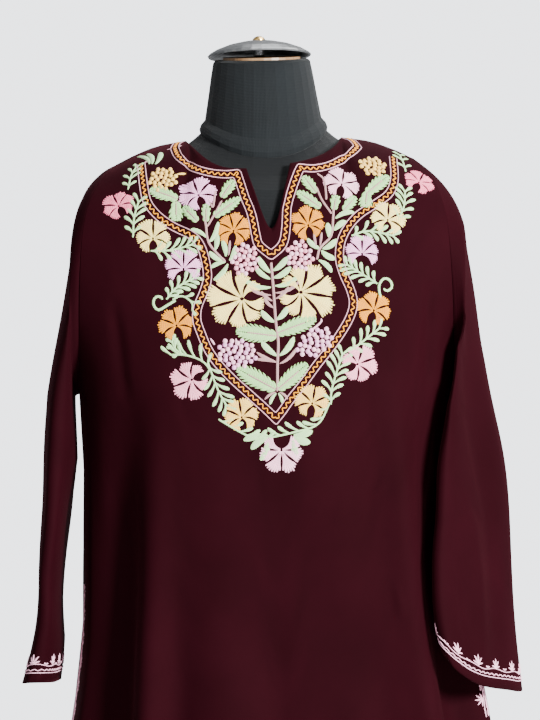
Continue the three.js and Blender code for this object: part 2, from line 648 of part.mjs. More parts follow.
// The stand
const plateTop = heightOf(bustFoot) - seat;
const plateFoot = plateTop - plate.thickness;
const baseTop = baseProfile[baseProfile.length - 1].up;
addPiece("form_plate", rod(plate.radius, plateFoot, plateTop, 0, 0), colours.iron, 0.5, 0.6);
addPiece("pole", rod(poleRadius, baseTop + seat, plateFoot - seat, 0, 0), colours.steel, 0.3, 1);
addPiece("stand_base", turned(baseProfile, 0, 0, 0), colours.iron, 0.5, 0.6);

export default root;
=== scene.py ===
import math
import random

import bmesh
import bpy
import numpy as np
from mathutils import Matrix, Vector
from mathutils.bvhtree import BVHTree
from mathutils.geometry import barycentric_transform


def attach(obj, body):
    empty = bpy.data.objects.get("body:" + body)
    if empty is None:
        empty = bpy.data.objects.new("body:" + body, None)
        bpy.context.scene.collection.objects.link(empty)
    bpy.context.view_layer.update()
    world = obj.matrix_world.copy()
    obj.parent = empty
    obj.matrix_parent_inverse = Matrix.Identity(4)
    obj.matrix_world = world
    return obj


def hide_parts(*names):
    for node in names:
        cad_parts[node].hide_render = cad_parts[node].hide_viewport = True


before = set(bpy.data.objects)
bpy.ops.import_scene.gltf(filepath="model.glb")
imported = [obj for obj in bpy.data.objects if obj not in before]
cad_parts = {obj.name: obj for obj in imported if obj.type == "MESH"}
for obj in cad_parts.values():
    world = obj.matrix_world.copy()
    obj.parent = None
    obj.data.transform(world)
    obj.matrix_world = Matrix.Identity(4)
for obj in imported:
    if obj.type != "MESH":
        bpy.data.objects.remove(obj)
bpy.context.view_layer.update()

# The camera
# It stands 2.4 m off, level with the chest and a little to the wearer's right, and is held
# slightly turned. The picture's height covers 0.7776 m where the pole stands.
photo_width = 540
photo_height = 720
sight_distance = 2.4
sight_height = 1.1313
sight_turn = math.radians(-3)
sight_roll = math.radians(1.6)
covered_height = 0.7776
sensor_height = 24
pixel = covered_height / photo_height
sight_forward = Vector((-math.sin(sight_turn), math.cos(sight_turn), 0))
level_right = Vector((math.cos(sight_turn), math.sin(sight_turn), 0))
level_up = Vector((0, 0, 1))
sight_right = level_right * math.cos(sight_roll) - level_up * math.sin(sight_roll)
sight_up = level_right * math.sin(sight_roll) + level_up * math.cos(sight_roll)
sight_from = Vector((0, 0, sight_height)) - sight_forward * sight_distance
camera_data = bpy.data.cameras.new("camera")
camera_data.sensor_fit = "VERTICAL"
camera_data.sensor_height = sensor_height
camera_data.lens = sensor_height * sight_distance / covered_height
camera = bpy.data.objects.new("camera", camera_data)
turn = Matrix((sight_right, sight_up, -sight_forward)).transposed().to_4x4()
camera.matrix_world = Matrix.Translation(sight_from) @ turn
bpy.context.scene.collection.objects.link(camera)
bpy.context.scene.camera = camera


def sight_towards(across, down):
    """The direction from the camera through a place in the picture, in its pixels."""
    right = (across - photo_width / 2) * pixel
    up = (photo_height / 2 - down) * pixel
    return (sight_forward * sight_distance + sight_right * right + sight_up * up).normalized()


# The cloth
# A smooth, fine wool suiting, dyed deep maroon. It is woven in a plain weave of about 14 threads
# to the centimetre and has a slight sheen where the light grazes it.
def link(tree, source, output, target, socket):
    tree.links.new(source.outputs[output], target.inputs[socket])


def maths(tree, operation, first, second=None):
    """A Math node on sockets or numbers, and what it puts out."""
    node = tree.nodes.new("ShaderNodeMath")
    node.operation = operation
    for socket, value in zip(node.inputs, (first, second)):
        if isinstance(value, bpy.types.NodeSocket):
            tree.links.new(value, socket)
        elif value is not None:
            socket.default_value = value
    return node.outputs[0]


def weighed(tree, first, share, second, other_share):
    """Two values added together, each times its share."""
    parts = [maths(tree, "MULTIPLY", first, share), maths(tree, "MULTIPLY", second, other_share)]
    return maths(tree, "ADD", *parts)


def new_material(name, finish):
    """A new material with these shader values, its node tree and its shader."""
    material = bpy.data.materials.new(name)
    material.use_nodes = True
    shader = material.node_tree.nodes["Principled BSDF"]
    for socket, value in finish.items():
        shader.inputs[socket].default_value = value
    return material, material.node_tree, shader


def noise(tree, source, output, scale, detail):
    """A noise texture at the places a node puts out."""
    node = tree.nodes.new("ShaderNodeTexNoise")
    node.inputs["Scale"].default_value = scale
    node.inputs["Detail"].default_value = detail
    link(tree, source, output, node, "Vector")
    return node


def coloured(tree, shader, mixed, dark, light, low, high):
    """Colours the shader from dark to light as the mix goes from low to high."""
    ramp = tree.nodes.new("ShaderNodeValToRGB")
    for element, position, colour in zip(ramp.color_ramp.elements, (low, high), (dark, light)):
        element.position = position
        element.color = (*colour, 1)
    tree.links.new(mixed, ramp.inputs["Fac"])
    link(tree, ramp, "Color", shader, "Base Color")


def raised(tree, shader, height, strength, distance):
    """Shows a height of 0 to 1 in how the light falls."""
    bump = tree.nodes.new("ShaderNodeBump")
    bump.inputs["Strength"].default_value = strength
    bump.inputs["Distance"].default_value = distance
    tree.links.new(height, bump.inputs["Height"])
    link(tree, bump, "Normal", shader, "Normal")


def plain_weave():
    """Threads over and under each other, in metres of a UV map: their height, and a fine fleck."""
    group = bpy.data.node_groups.new("plain weave", "ShaderNodeTree")
    group.interface.new_socket("Place", in_out="INPUT", socket_type="NodeSocketVector")
    group.interface.new_socket("Threads", in_out="INPUT", socket_type="NodeSocketFloat")
    group.interface.new_socket("Height", in_out="OUTPUT", socket_type="NodeSocketFloat")
    group.interface.new_socket("Fleck", in_out="OUTPUT", socket_type="NodeSocketFloat")
    taken = group.nodes.new("NodeGroupInput")
    given = group.nodes.new("NodeGroupOutput")
    split = group.nodes.new("ShaderNodeSeparateXYZ")
    link(group, taken, "Place", split, 0)
    waves = []
    for axis in ("X", "Y"):
        turns = maths(group, "MULTIPLY", split.outputs[axis], taken.outputs["Threads"])
        waves.append(maths(group, "SINE", maths(group, "MULTIPLY", turns, math.pi)))
    over = maths(group, "MULTIPLY", waves[0], waves[1])
    under = maths(group, "SUBTRACT", 1.0, over)
    warp = maths(group, "MULTIPLY", maths(group, "ABSOLUTE", waves[0]), maths(group, "ADD", over, 1.0))
    weft = maths(group, "MULTIPLY", maths(group, "ABSOLUTE", waves[1]), under)
    height = maths(group, "MULTIPLY", maths(group, "MAXIMUM", warp, weft), 0.5)
    group.links.new(height, given.inputs["Height"])
    fleck = noise(group, taken, "Place", scale=1, detail=3)
    link(group, taken, "Threads", fleck, "Scale")
    link(group, fleck, "Fac", given, "Fleck")
    return group


def cloth_material(name, dark, light, threads, relief):
    """Woven cloth: its colour drifts a little over the piece and flecks from thread to thread."""
    material, tree, shader = new_material(name, {
        "Specular IOR Level": 0.02, "Sheen Weight": 0.05, "Sheen Roughness": 0.35,
        "Sheen Tint": (0.8, 0.15, 0.22, 1)})
    place = tree.nodes.new("ShaderNodeUVMap")
    place.uv_map = "cut"
    woven = tree.nodes.new("ShaderNodeGroup")
    woven.node_tree = plain_weave()
    woven.inputs["Threads"].default_value = threads
    link(tree, place, "UV", woven, "Place")
    drift = noise(tree, place, "UV", scale=9, detail=4)
    tone_mix = weighed(tree, drift.outputs["Fac"], 0.6, woven.outputs["Fleck"], 0.4)
    coloured(tree, shader, tone_mix, dark, light, low=0.3, high=0.72)
    rough = maths(tree, "ADD", maths(tree, "MULTIPLY", woven.outputs["Height"], -0.12), 0.82)
    tree.links.new(rough, shader.inputs["Roughness"])
    raised(tree, shader, woven.outputs["Height"], strength=0.5, distance=relief)
    return material


threads_a_metre = 1400
thread_relief = 0.00012
dark_maroon = (0.0105, 0.0009, 0.0021)
light_maroon = (0.0195, 0.0019, 0.0043)
maroon = cloth_material("maroon wool", dark_maroon, light_maroon, threads_a_metre, thread_relief)
same_place = 1e-5
on_seam = 0.0015
corner_turn = math.radians(35)
fitting_rounds = 4
fitting_step = 0.9


def merged_copy(node, middle):
    """A copy of a CAD cloth, and the points of its inner face. Middle gives, for a place on the
    cloth, the point inside the garment that the outer face looks away from."""
    sheet = bmesh.new()
    sheet.from_mesh(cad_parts[node].data)
    bmesh.ops.remove_doubles(sheet, verts=sheet.verts, dist=same_place)
    outward = {v: 0.0 for v in sheet.verts}
    for face in sheet.faces:
        centre = face.calc_center_median()
        share = face.normal.dot(centre - middle(centre)) * face.calc_area()
        for vert in face.verts:
            outward[vert] += share
    return sheet, {v for v in sheet.verts if outward[v] < 0}


def rows_from(sheet, edge, inner, wanted, closed):
    """The outer face's rows of points, from its lower edge up. The rest of the copy is deleted."""
    rows = [edge]
    seen = set(edge) | inner
    while sum(len(row) for row in rows) < wanted:
        row = next_row(rows[-1], seen, closed)
        if row is None:
            break
        rows.append(row)
        seen.update(row)
    kept = {v for row in rows for v in row}
    bmesh.ops.delete(sheet, geom=[v for v in sheet.verts if v not in kept], context="VERTS")
    return rows


def next_row(row, seen, closed):
    """The row of points after this one, starting at the point linked to this row's first."""
    found = {e.other_vert(v) for v in row for e in v.link_edges} - seen

    def beside(vert, line):
        steps = [e.other_vert(vert) for e in vert.link_edges]
        return [v for v in steps if v in found and v not in line]

    def walk(line):
        while True:
            steps = beside(line[-1], line)
            if not steps:
                return line
            line.append(min(steps, key=lambda v: (v.co - line[-1].co).length))

    starts = beside(row[0], [])
    if not starts:
        return None
    if not closed:
        return walk([next(v for v in starts if v.is_boundary)])
    lines = [walk([start, second]) for start in starts for second in beside(start, [start])]
    lines = [line for line in lines if len(line) == len(row)]
    return min(lines, key=lambda line: sum((a.co - b.co).length for a, b in zip(row, line)))


def cut_map(sheet, rows, closed):
    """Gives the sheet its UV map "cut": metres along and down the cloth, as it was cut."""
    layer = sheet.loops.layers.uv.new("cut")
    place = {}
    width = len(rows[0])
    middle = width // 2
    down = 0.0
    for number, row in enumerate(rows):
        if number:
            down += (row[middle].co - rows[number - 1][middle].co).length
        across = [0.0]
        for before, after in zip(row, row[1:]):
            across.append(across[-1] + (after.co - before.co).length)
        for column, vert in enumerate(row):
            place[vert] = (across[column] - across[middle], down, column)
        if closed:
            round_length = across[-1] + (row[0].co - row[-1].co).length
            place[row[0]] = (*place[row[0]], round_length)
    for face in sheet.faces:
        columns = [place[loop.vert][2] for loop in face.loops]
        wraps = closed and 0 in columns and width - 1 in columns
        for loop in face.loops:
            u, v = place[loop.vert][:2]
            if wraps and place[loop.vert][2] == 0:
                u += place[loop.vert][3]
            loop[layer].uv = (u, v)


def even_rows(rows, edge_width):
    """Spaces a panel's rows evenly down the cloth, all but near its sides, where they meet the
    sleeve's points."""
    grid = np.array([[v.co for v in row] for row in rows])
    for column in range(1, len(rows[0]) - 1):
        line = grid[:, column]
        reach = np.concatenate(([0], np.cumsum(np.linalg.norm(np.diff(line, axis=0), axis=1))))
        level = grid[len(rows) // 2]
        from_side = min(abs(level[column][0] - level[0][0]), abs(level[column][0] - level[-1][0]))
        share = min(1.0, from_side / edge_width) ** 1.5
        wanted = reach + share * (np.linspace(0, reach[-1], len(rows)) - reach)
        for axis in range(3):
            moved = np.interp(wanted, reach, line[:, axis])
            for row, value in zip(rows, moved):
                row[column].co[axis] = value


def quads_only(sheet, rows, closed):
    """Takes out the diagonals, so the sheet is the plain grid of its rows and columns."""
    kept = set()
    for row in rows:
        pairs = list(zip(row, row[1:])) + ([(row[-1], row[0])] if closed else [])
        kept.update(frozenset(pair) for pair in pairs)
    for above, below in zip(rows, rows[1:]):
        kept.update(frozenset(pair) for pair in zip(above, below))
    diagonals = [e for e in sheet.edges if frozenset(e.verts) not in kept]
    bmesh.ops.dissolve_edges(sheet, edges=diagonals, use_verts=False)


def pinned(vert):
    """Whether a point of an edge stays put: at corners, and on the shoulder and side seams."""
    if not vert.is_boundary:
        return False
    if abs(vert.co.y) < on_seam:
        return True
    ways = [(e.other_vert(vert).co - vert.co).normalized() for e in vert.link_edges if e.is_boundary]
    return len(ways) == 2 and ways[0].angle(-ways[1]) > corner_turn


def subdivided(name, sheet, levels):
    """The sheet smoothed and made finer, passing through the CAD cloth's own points."""
    crease = sheet.verts.layers.float.new("crease_vert")
    for vert in sheet.verts:
        vert[crease] = 1.0 if pinned(vert) else 0.0
    mesh = bpy.data.meshes.new(name)
    sheet.to_mesh(mesh)
    sheet.free()
    cage = bpy.data.objects.new(name, mesh)
    bpy.context.scene.collection.objects.link(cage)
    finer = cage.modifiers.new("finer", "SUBSURF")
    finer.levels = finer.render_levels = levels
    count = len(mesh.vertices)
    wanted = np.array([v.co for v in mesh.vertices])
    held = wanted.copy()
    fine = None
    for _ in range(fitting_rounds):
        mesh.vertices.foreach_set("co", held.ravel())
        mesh.update()
        if fine:
            bpy.data.meshes.remove(fine)
        shown = bpy.context.evaluated_depsgraph_get()
        shown.update()
        fine = bpy.data.meshes.new_from_object(cage.evaluated_get(shown))
        reached = np.array([v.co for v in fine.vertices[:count]])
        held += fitting_step * (wanted - reached)
    bpy.data.objects.remove(cage)
    bpy.data.meshes.remove(mesh)
    fine.name = name
    return fine


def crease_depth(places, creases):
    """How far out each place moves: each crease is a soft line of points (along, up) with a
    width and a height at its middle, both in metres, fading out at its ends."""
    moved = np.zeros(len(places))
    for line, width, height in creases:
        points = np.array(line, float)
        steps = np.linalg.norm(np.diff(points, axis=0), axis=1)
        reach = np.concatenate(([0], np.cumsum(steps)))
        best = np.full(len(places), 1e9)
        share = np.zeros(len(places))
        for i, step in enumerate(steps):
            way = (points[i + 1] - points[i]) / step
            along = np.clip((places - points[i]) @ way, 0, step)
            away = np.linalg.norm(places - points[i] - along[:, None] * way, axis=1)
            nearer = away < best
            best[nearer] = away[nearer]
            share[nearer] = (reach[i] + along[nearer]) / reach[-1]
        fading = np.sin(math.pi * np.clip(share, 0.0, 1.0)) ** 0.7
        moved += height * fading * np.exp(-((best / width) ** 2))
    return moved


def rim_points(mesh):
    """The numbers of the points on a cloth's free edges."""
    faces_at = {}
    for polygon in mesh.polygons:
        for pair in polygon.edge_keys:
            faces_at[pair] = faces_at.get(pair, 0) + 1
    return {number for pair, faces in faces_at.items() if faces == 1 for number in pair}


def hang(mesh, depth):
    """Moves a fine sheet's points out along its normals."""
    places = np.array([v.co for v in mesh.vertices])
    normals = np.array([v.normal for v in mesh.vertices])
    mesh.vertices.foreach_set("co", (places + normals * depth[:, None]).ravel())
    mesh.update()


def cloth_piece(node, mesh, thickness):
    """The finished cloth: smooth, with its thickness on the inside, in place of the CAD cloth."""
    mesh.materials.clear()
    mesh.materials.append(maroon)
    for polygon in mesh.polygons:
        polygon.use_smooth = True
    piece = bpy.data.objects.new(node + "_cloth", mesh)
    bpy.context.scene.collection.objects.link(piece)
    wall = piece.modifiers.new("thickness", "SOLIDIFY")
    wall.thickness = thickness
    wall.offset = -1
    wall.use_even_offset = False
    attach(piece, "root")
    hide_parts(node)
    return piece


# Front and back
# Each is one length of cloth from shoulder to hem, the front slit at the neck. They are sewn to
# each other at the shoulders and sides, and hang from the form's shoulders in broad soft folds.
cloth_thickness = 0.0013
chest_height = 1.15
hem_row_top = 0.3723
side_band = 0.07
finer_levels = 3


def body_middle(place):
    return Vector((0, 0, min(place.z, chest_height)))


def panel_mesh(node, creases):
    """The outer face of the front or back, smooth and with its folds."""
    sheet, inner = merged_copy(node, body_middle)
    bmesh.ops.delete(sheet, geom=list(inner), context="VERTS")
    hem = sorted((v for v in sheet.verts if v.co.z < hem_row_top), key=lambda v: v.co.x)
    rows = rows_from(sheet, hem, set(), len(sheet.verts), closed=False)
    even_rows(rows, side_band)
    cut_map(sheet, rows, closed=False)
    quads_only(sheet, rows, closed=False)
    fine = subdivided(node + "_cloth", sheet, finer_levels)
    places = np.array([v.co for v in fine.vertices])
    side = np.where(places[:, 1] < 0, 1, -1)
    flat_places = np.stack([places[:, 0] * side, places[:, 2]], axis=1)
    hang(fine, crease_depth(flat_places, creases) + soft_ripple(places))
    return fine


def soft_ripple(places):
    """A slight unevenness all over the panel that dies away at the shoulders."""
    x, z = places[:, 0], places[:, 2]
    below_shoulder = np.clip((ripple_top - z) * 5, 0, 1)
    return ripple_height * np.sin(x * 61 + z * 9) * np.sin(z * 23 + x * 7) * below_shoulder


ripple_height = 0.0008
ripple_top = 1.3
front_creases = [
    # line of (along, up), width, height
    ([(0.117, 1.14), (0.125, 1.06), (0.131, 0.97), (0.138, 0.88), (0.150, 0.79), (0.166, 0.60),
      (0.182, 0.36)], 0.016, 0.006),
    ([(0.146, 1.15), (0.153, 1.05), (0.160, 0.96), (0.168, 0.86), (0.184, 0.72), (0.205, 0.50),
      (0.22, 0.34)], 0.018, -0.010),
    ([(-0.125, 1.10), (-0.131, 1.00), (-0.138, 0.88), (-0.146, 0.76), (-0.160, 0.58), (-0.175, 0.36)],
     0.016, 0.008),
    ([(-0.156, 1.12), (-0.160, 1.02), (-0.166, 0.90), (-0.176, 0.76), (-0.192, 0.55), (-0.205, 0.34)],
     0.021, -0.014),
    ([(0.163, 1.04), (0.152, 0.985), (0.146, 0.92)], 0.007, 0.004),
    ([(0.176, 1.10), (0.178, 1.03), (0.180, 0.95), (0.184, 0.86)], 0.010, -0.012),
    ([(0.176, 1.20), (0.168, 1.185), (0.166, 1.17)], 0.005, 0.0016),
    ([(0.170, 1.165), (0.162, 1.125), (0.160, 1.09)], 0.005, -0.0016),
    ([(0.153, 1.085), (0.146, 1.062), (0.138, 1.045)], 0.005, 0.0012),
    ([(0.166, 1.21), (0.160, 1.15), (0.158, 1.10)], 0.007, -0.004),
    ([(-0.166, 1.20), (-0.160, 1.14), (-0.156, 1.09)], 0.007, -0.003),
    ([(0.080, 1.035), (0.105, 1.062)], 0.004, 0.0014),
    ([(0.052, 0.966), (0.070, 0.990)], 0.004, 0.0012),
    ([(0.092, 0.986), (0.112, 1.006)], 0.004, 0.0012),
    ([(0.116, 0.90), (0.122, 0.86)], 0.005, 0.0014),
    ([(-0.060, 1.02), (-0.066, 0.85), (-0.072, 0.62), (-0.080, 0.34)], 0.026, 0.0035),
    ([(-0.015, 0.96), (-0.012, 0.75), (-0.008, 0.34)], 0.022, -0.0035),
    ([(0.050, 0.98), (0.060, 0.76), (0.074, 0.34)], 0.024, 0.003),
    ([(-0.105, 0.92), (-0.112, 0.70), (-0.122, 0.34)], 0.016, -0.004),
    ([(0.098, 0.84), (0.108, 0.62), (0.122, 0.34)], 0.016, -0.004),
]
back_creases = [
    ([(0.060, 1.20), (0.068, 0.95), (0.080, 0.62), (0.092, 0.34)], 0.022, 0.005),
    ([(0.012, 1.16), (0.010, 0.90), (0.004, 0.60), (-0.002, 0.34)], 0.020, -0.005),
    ([(-0.048, 1.18), (-0.056, 0.93), (-0.066, 0.62), (-0.078, 0.34)], 0.024, 0.005),
    ([(-0.105, 1.15), (-0.114, 0.92), (-0.126, 0.62), (-0.140, 0.34)], 0.018, -0.006),
    ([(0.112, 1.13), (0.122, 0.90), (0.136, 0.62), (0.150, 0.34)], 0.018, -0.006),
    ([(0.160, 1.20), (0.156, 1.14), (0.154, 1.07)], 0.008, -0.004),
    ([(-0.160, 1.21), (-0.157, 1.14), (-0.152, 1.08)], 0.008, -0.004),
    ([(-0.080, 1.27), (-0.030, 1.255), (0.020, 1.262)], 0.008, 0.002),
]
front_mesh = panel_mesh("front", front_creases)
front = cloth_piece("front", front_mesh, cloth_thickness)
back_mesh = panel_mesh("back", back_creases)
back = cloth_piece("back", back_mesh, cloth_thickness)


# Sleeves
# Each is one piece folded at the top and closed by a seam under the arm, sewn into the armhole.
# With no arm in it, a sleeve hangs almost flat and its front edge swings towards the body.
sleeve_joint_height = 1.10
armhole_middle = (0.188, 0, 1.2)
armhole_foot = 1.20
armhole_fade = 0.05
cuff_top = 0.9
measured_levels = 12
level_reach = 0.03
front_from = 0.015
front_depth = 0.06
seam_hold = 0.028


def sleeve_middle(node):
    """The line down the middle of a sleeve that its outer face looks away from."""
    points = np.array([v.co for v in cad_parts[node].data.vertices])
    hand = math.copysign(1, points[:, 0].mean())
    levels = np.linspace(points[:, 2].min(), sleeve_joint_height, measured_levels)
    centres = [points[np.abs(points[:, 2] - level) < level_reach].mean(axis=0) for level in levels]

    def middle(place):
        if place.z > sleeve_joint_height:
            return Vector((armhole_middle[0] * hand, armhole_middle[1], armhole_middle[2]))
        nearest = min(centres, key=lambda c: abs(c[2] - place.z))
        return Vector((nearest[0], nearest[1], place.z))

    return middle


def sleeve_mesh(node, front_folds, back_folds):
    """The outer face of a sleeve, smooth and with its folds, from the cuff up."""
    sheet, inner = merged_copy(node, sleeve_middle(node))
    half = len(sheet.verts) // 2
    rim = {v for v in sheet.verts if v not in inner and v.co.z < cuff_top
           and any(e.other_vert(v) in inner for e in v.link_edges)}
    cuff = [min(rim, key=lambda v: (v.co.z, v.co.x))]
    while True:
        steps = [e.other_vert(cuff[-1]) for e in cuff[-1].link_edges]
        steps = [v for v in steps if v in rim and v not in cuff]
        if not steps:
            break
        cuff.append(min(steps, key=lambda v: (v.co - cuff[-1].co).length))
    lower_inner = {v for v in inner if v.co.z < cuff_top}
    rows = rows_from(sheet, cuff, lower_inner, half, closed=True)
    cut_map(sheet, rows, closed=True)
    quads_only(sheet, rows, closed=True)
    fine = subdivided(node + "_cloth", sheet, finer_levels)
    places = np.array([v.co for v in fine.vertices])
    facing = np.clip(0.5 - 1.2 * np.array([v.normal.y for v in fine.vertices]), 0, 1)
    flat_places = np.stack([places[:, 0], places[:, 2]], axis=1)
    below_armhole = np.clip((armhole_foot - places[:, 2]) / armhole_fade + 1, 0, 1)
    depth = crease_depth(flat_places, front_folds) * facing
    depth += crease_depth(flat_places, back_folds) * (1 - facing)
    hang(fine, depth * below_armhole)
    return fine


def swing(mesh, fold_forward):
    """Lets the sleeve's front edge fall forward and in beside the body, below the armhole."""
    places = np.array([v.co for v in mesh.vertices])
    rim = rim_points(mesh)
    edge = [mesh.vertices[number].co for number in rim]
    seam = np.array([place for place in edge if place.z > cuff_top])
    from_seam = np.array([np.linalg.norm(seam - place, axis=1).min() for place in places])
    heights, inward, forward = zip(*fold_forward)
    frontness = np.clip((-places[:, 1] - front_from) / front_depth, 0, 1)
    share = frontness ** 2 * (3 - 2 * frontness) * np.clip(from_seam / seam_hold, 0, 1) ** 1.3
    hand = math.copysign(1, places[:, 0].mean())
    places[:, 0] -= hand * share * np.interp(places[:, 2], heights, inward)
    places[:, 1] -= share * np.interp(places[:, 2], heights, forward)
    mesh.vertices.foreach_set("co", places.ravel())
    mesh.update()


left_front_folds = [
    # line of (along, up), width, height
    ([(0.226, 1.20), (0.226, 1.10), (0.228, 0.98), (0.226, 0.80)], 0.009, -0.0035),
    ([(0.205, 0.99), (0.206, 0.90), (0.208, 0.80)], 0.008, 0.0035),
    ([(0.184, 0.96), (0.186, 0.88), (0.192, 0.80)], 0.007, -0.003),
    ([(0.214, 1.09), (0.226, 1.065)], 0.005, 0.0015),
    ([(0.204, 0.98), (0.216, 0.955)], 0.005, -0.0015),
]
left_back_folds = [
    ([(0.214, 1.20), (0.220, 1.04), (0.226, 0.88)], 0.010, 0.004),
    ([(0.236, 1.12), (0.240, 0.98), (0.238, 0.82)], 0.009, -0.004),
]
right_front_folds = [
    ([(-0.209, 1.03), (-0.213, 0.97), (-0.217, 0.90), (-0.222, 0.84)], 0.010, -0.012),
    ([(-0.222, 1.16), (-0.230, 1.04), (-0.236, 0.94), (-0.238, 0.82)], 0.008, 0.003),
    ([(-0.240, 1.10), (-0.246, 1.02), (-0.248, 0.92)], 0.007, -0.003),
    ([(-0.240, 0.90), (-0.246, 0.86), (-0.256, 0.83)], 0.006, 0.0025),
]
right_back_folds = [
    ([(-0.214, 1.18), (-0.224, 1.04), (-0.232, 0.88)], 0.009, 0.004),
    ([(-0.236, 1.10), (-0.244, 0.96), (-0.250, 0.82)], 0.009, -0.004),
]
left_swing = [
    # height, inward, forward
    (0.90, 0.0, 0.0),
    (0.96, 0.004, 0.001),
    (1.02, 0.012, 0.003),
    (1.08, 0.019, 0.006),
    (1.14, 0.019, 0.009),
    (1.20, 0.012, 0.008),
    (1.27, 0.0, 0.0),
]
left_mesh = sleeve_mesh("sleeve_left", left_front_folds, left_back_folds)
swing(left_mesh, left_swing)
right_mesh = sleeve_mesh("sleeve_right", right_front_folds, right_back_folds)
sleeve_left = cloth_piece("sleeve_left", left_mesh, cloth_thickness)
sleeve_right = cloth_piece("sleeve_right", right_mesh, cloth_thickness)


# Thread
# Soft mercerised cotton, dyed in pale colours and worked with a hooked needle in rows of chain
# stitch, one beside the next. Rows are 1 to 3 mm wide, and most stand 0.7 mm proud of the cloth.
row_height = 0.0007
rim_depth = 0.0002
row_columns = (-1, -0.45, 0.45, 1)
link_length = 0.0022
link_relief = 0.0003
dyes = {
    "green": (0.36, 0.66, 0.24),
    "pale_green": (0.46, 0.76, 0.34),
    "cream": (1.0, 0.78, 0.24),
    "peach": (1.0, 0.62, 0.13),
    "gold": (0.80, 0.29, 0.0),
    "pink": (1.0, 0.38, 0.50),
    "rose": (0.96, 0.20, 0.32),
    "lilac": (0.90, 0.42, 0.70),
    "pale_pink": (1.0, 0.52, 0.66),
    "mauve": (0.46, 0.25, 0.25),
    "line_pink": (0.70, 0.36, 0.42),
}
shades = random.Random(11)


def chain_stitch():
    """Links of chain stitch along a row, on a map in metres: their height, and the fibres."""
    group = bpy.data.node_groups.new("chain stitch", "ShaderNodeTree")
    group.interface.new_socket("Place", in_out="INPUT", socket_type="NodeSocketVector")
    group.interface.new_socket("Height", in_out="OUTPUT", socket_type="NodeSocketFloat")
    group.interface.new_socket("Fibre", in_out="OUTPUT", socket_type="NodeSocketFloat")
    taken = group.nodes.new("NodeGroupInput")
    given = group.nodes.new("NodeGroupOutput")
    split = group.nodes.new("ShaderNodeSeparateXYZ")
    link(group, taken, "Place", split, 0)
    aside = maths(group, "ABSOLUTE", split.outputs["X"])
    arrow = maths(group, "SUBTRACT", split.outputs["Y"], maths(group, "MULTIPLY", aside, 1.3))
    turns = maths(group, "MULTIPLY", arrow, 2 * math.pi / link_length)
    height = maths(group, "ADD", maths(group, "MULTIPLY", maths(group, "SINE", turns), 0.5), 0.5)
    group.links.new(height, given.inputs["Height"])
    fibre = noise(group, taken, "Place", scale=2600, detail=2)
    link(group, fibre, "Fac", given, "Fibre")
    return group


def thread_material():
    """Cotton in whatever dye the piece holds, with painted shade darkening it between the links of the
    chain.
    """
    finish = {"Sheen Weight": 0.2, "Specular IOR Level": 0.3}
    material, tree, shader = new_material("cotton thread", finish)
    place = tree.nodes.new("ShaderNodeUVMap")
    place.uv_map = "stitch"
    chain = tree.nodes.new("ShaderNodeGroup")
    chain.node_tree = chain_stitch()
    link(tree, place, "UV", chain, "Place")
    dye = tree.nodes.new("ShaderNodeAttribute")
    dye.attribute_name = "dye"
    # The links' height lightens the dye, which is painted shade between the links; the fibre noise is the
    # thread's own fleck.
    tone_mix = weighed(tree, chain.outputs["Height"], 0.22, chain.outputs["Fibre"], 0.22)
    tinted = tree.nodes.new("ShaderNodeVectorMath")
    tinted.operation = "SCALE"
    link(tree, dye, "Color", tinted, 0)
    tree.links.new(maths(tree, "ADD", tone_mix, 0.84), tinted.inputs["Scale"])
    link(tree, tinted, 0, shader, "Base Color")
    rough = maths(tree, "SUBTRACT", 0.86, maths(tree, "MULTIPLY", chain.outputs["Fibre"], 0.22))
    tree.links.new(rough, shader.inputs["Roughness"])
    raised(tree, shader, chain.outputs["Height"], strength=0.6, distance=link_relief)
    return material


cotton = thread_material()


def needlework():
    """An empty piece of embroidery, with its stitch map and its dye."""
    shape = bmesh.new()
    shape.loops.layers.uv.new("stitch")
    shape.loops.layers.float_color.new("dye")
    return shape


def cloth_tree(*pieces):
    """The finished cloth's outer face, to lay stitches on."""
    points, faces = [], []
    for piece in pieces:
        start = len(points)
        points += [v.co.copy() for v in piece.data.vertices]
        faces += [[start + i for i in p.vertices] for p in piece.data.polygons]
    return BVHTree.FromPolygons(points, faces)


def sew_row(shape, cloth, line, halves, dye, height=row_height):
    """A row of stitches along points on the cloth, as wide as the halves say, its rim in the cloth."""
    long = len(line) - 1
    made = bmesh.ops.create_grid(shape, x_segments=3, y_segments=long, size=0.5)["verts"]
    reach = [0.0]
    for before, after in zip(line, line[1:]):
        reach.append(reach[-1] + (after - before).length)
    beds = []
    for row, point in enumerate(line):
        near, normal, _, _ = cloth.find_nearest(point)
        way = line[min(row + 1, long)] - line[max(row - 1, 0)]
        beds.append((near, way.cross(normal).normalized()))
    spots = {}
    for vert in made:
        column = round((vert.co.x + 0.5) * 3)
        row = round((vert.co.y + 0.5) * long)
        aside = halves[row] * row_columns[column]
        near, normal, _, _ = cloth.find_nearest(beds[row][0] + beds[row][1] * aside)
        proud = height if column in (1, 2) and 0 < row < long else -rim_depth
        vert.co = near + normal * proud
        spots[vert] = (aside, reach[row])
    stitch = shape.loops.layers.uv["stitch"]
    colour = shape.loops.layers.float_color["dye"]
    shade = 1 + shades.uniform(-0.08, 0.06)
    mixed = [min(1, channel * shade) for channel in dyes[dye]] + [1]
    for face in {face for vert in made for face in vert.link_faces}:
        for corner in face.loops:
            corner[stitch].uv = spots[corner.vert]
            corner[colour] = mixed


def bent(start, middle, end, count):
    """Points along a curve from start to end that is drawn towards the middle."""
    steps = [i / count for i in range(count + 1)]
    return [start * (1 - t) ** 2 + middle * 2 * t * (1 - t) + end * t ** 2 for t in steps]


def seen(cloth, across, down):
    """The place on the cloth that shows at a place in the picture."""
    return cloth.ray_cast(sight_from, sight_towards(across, down))[0]


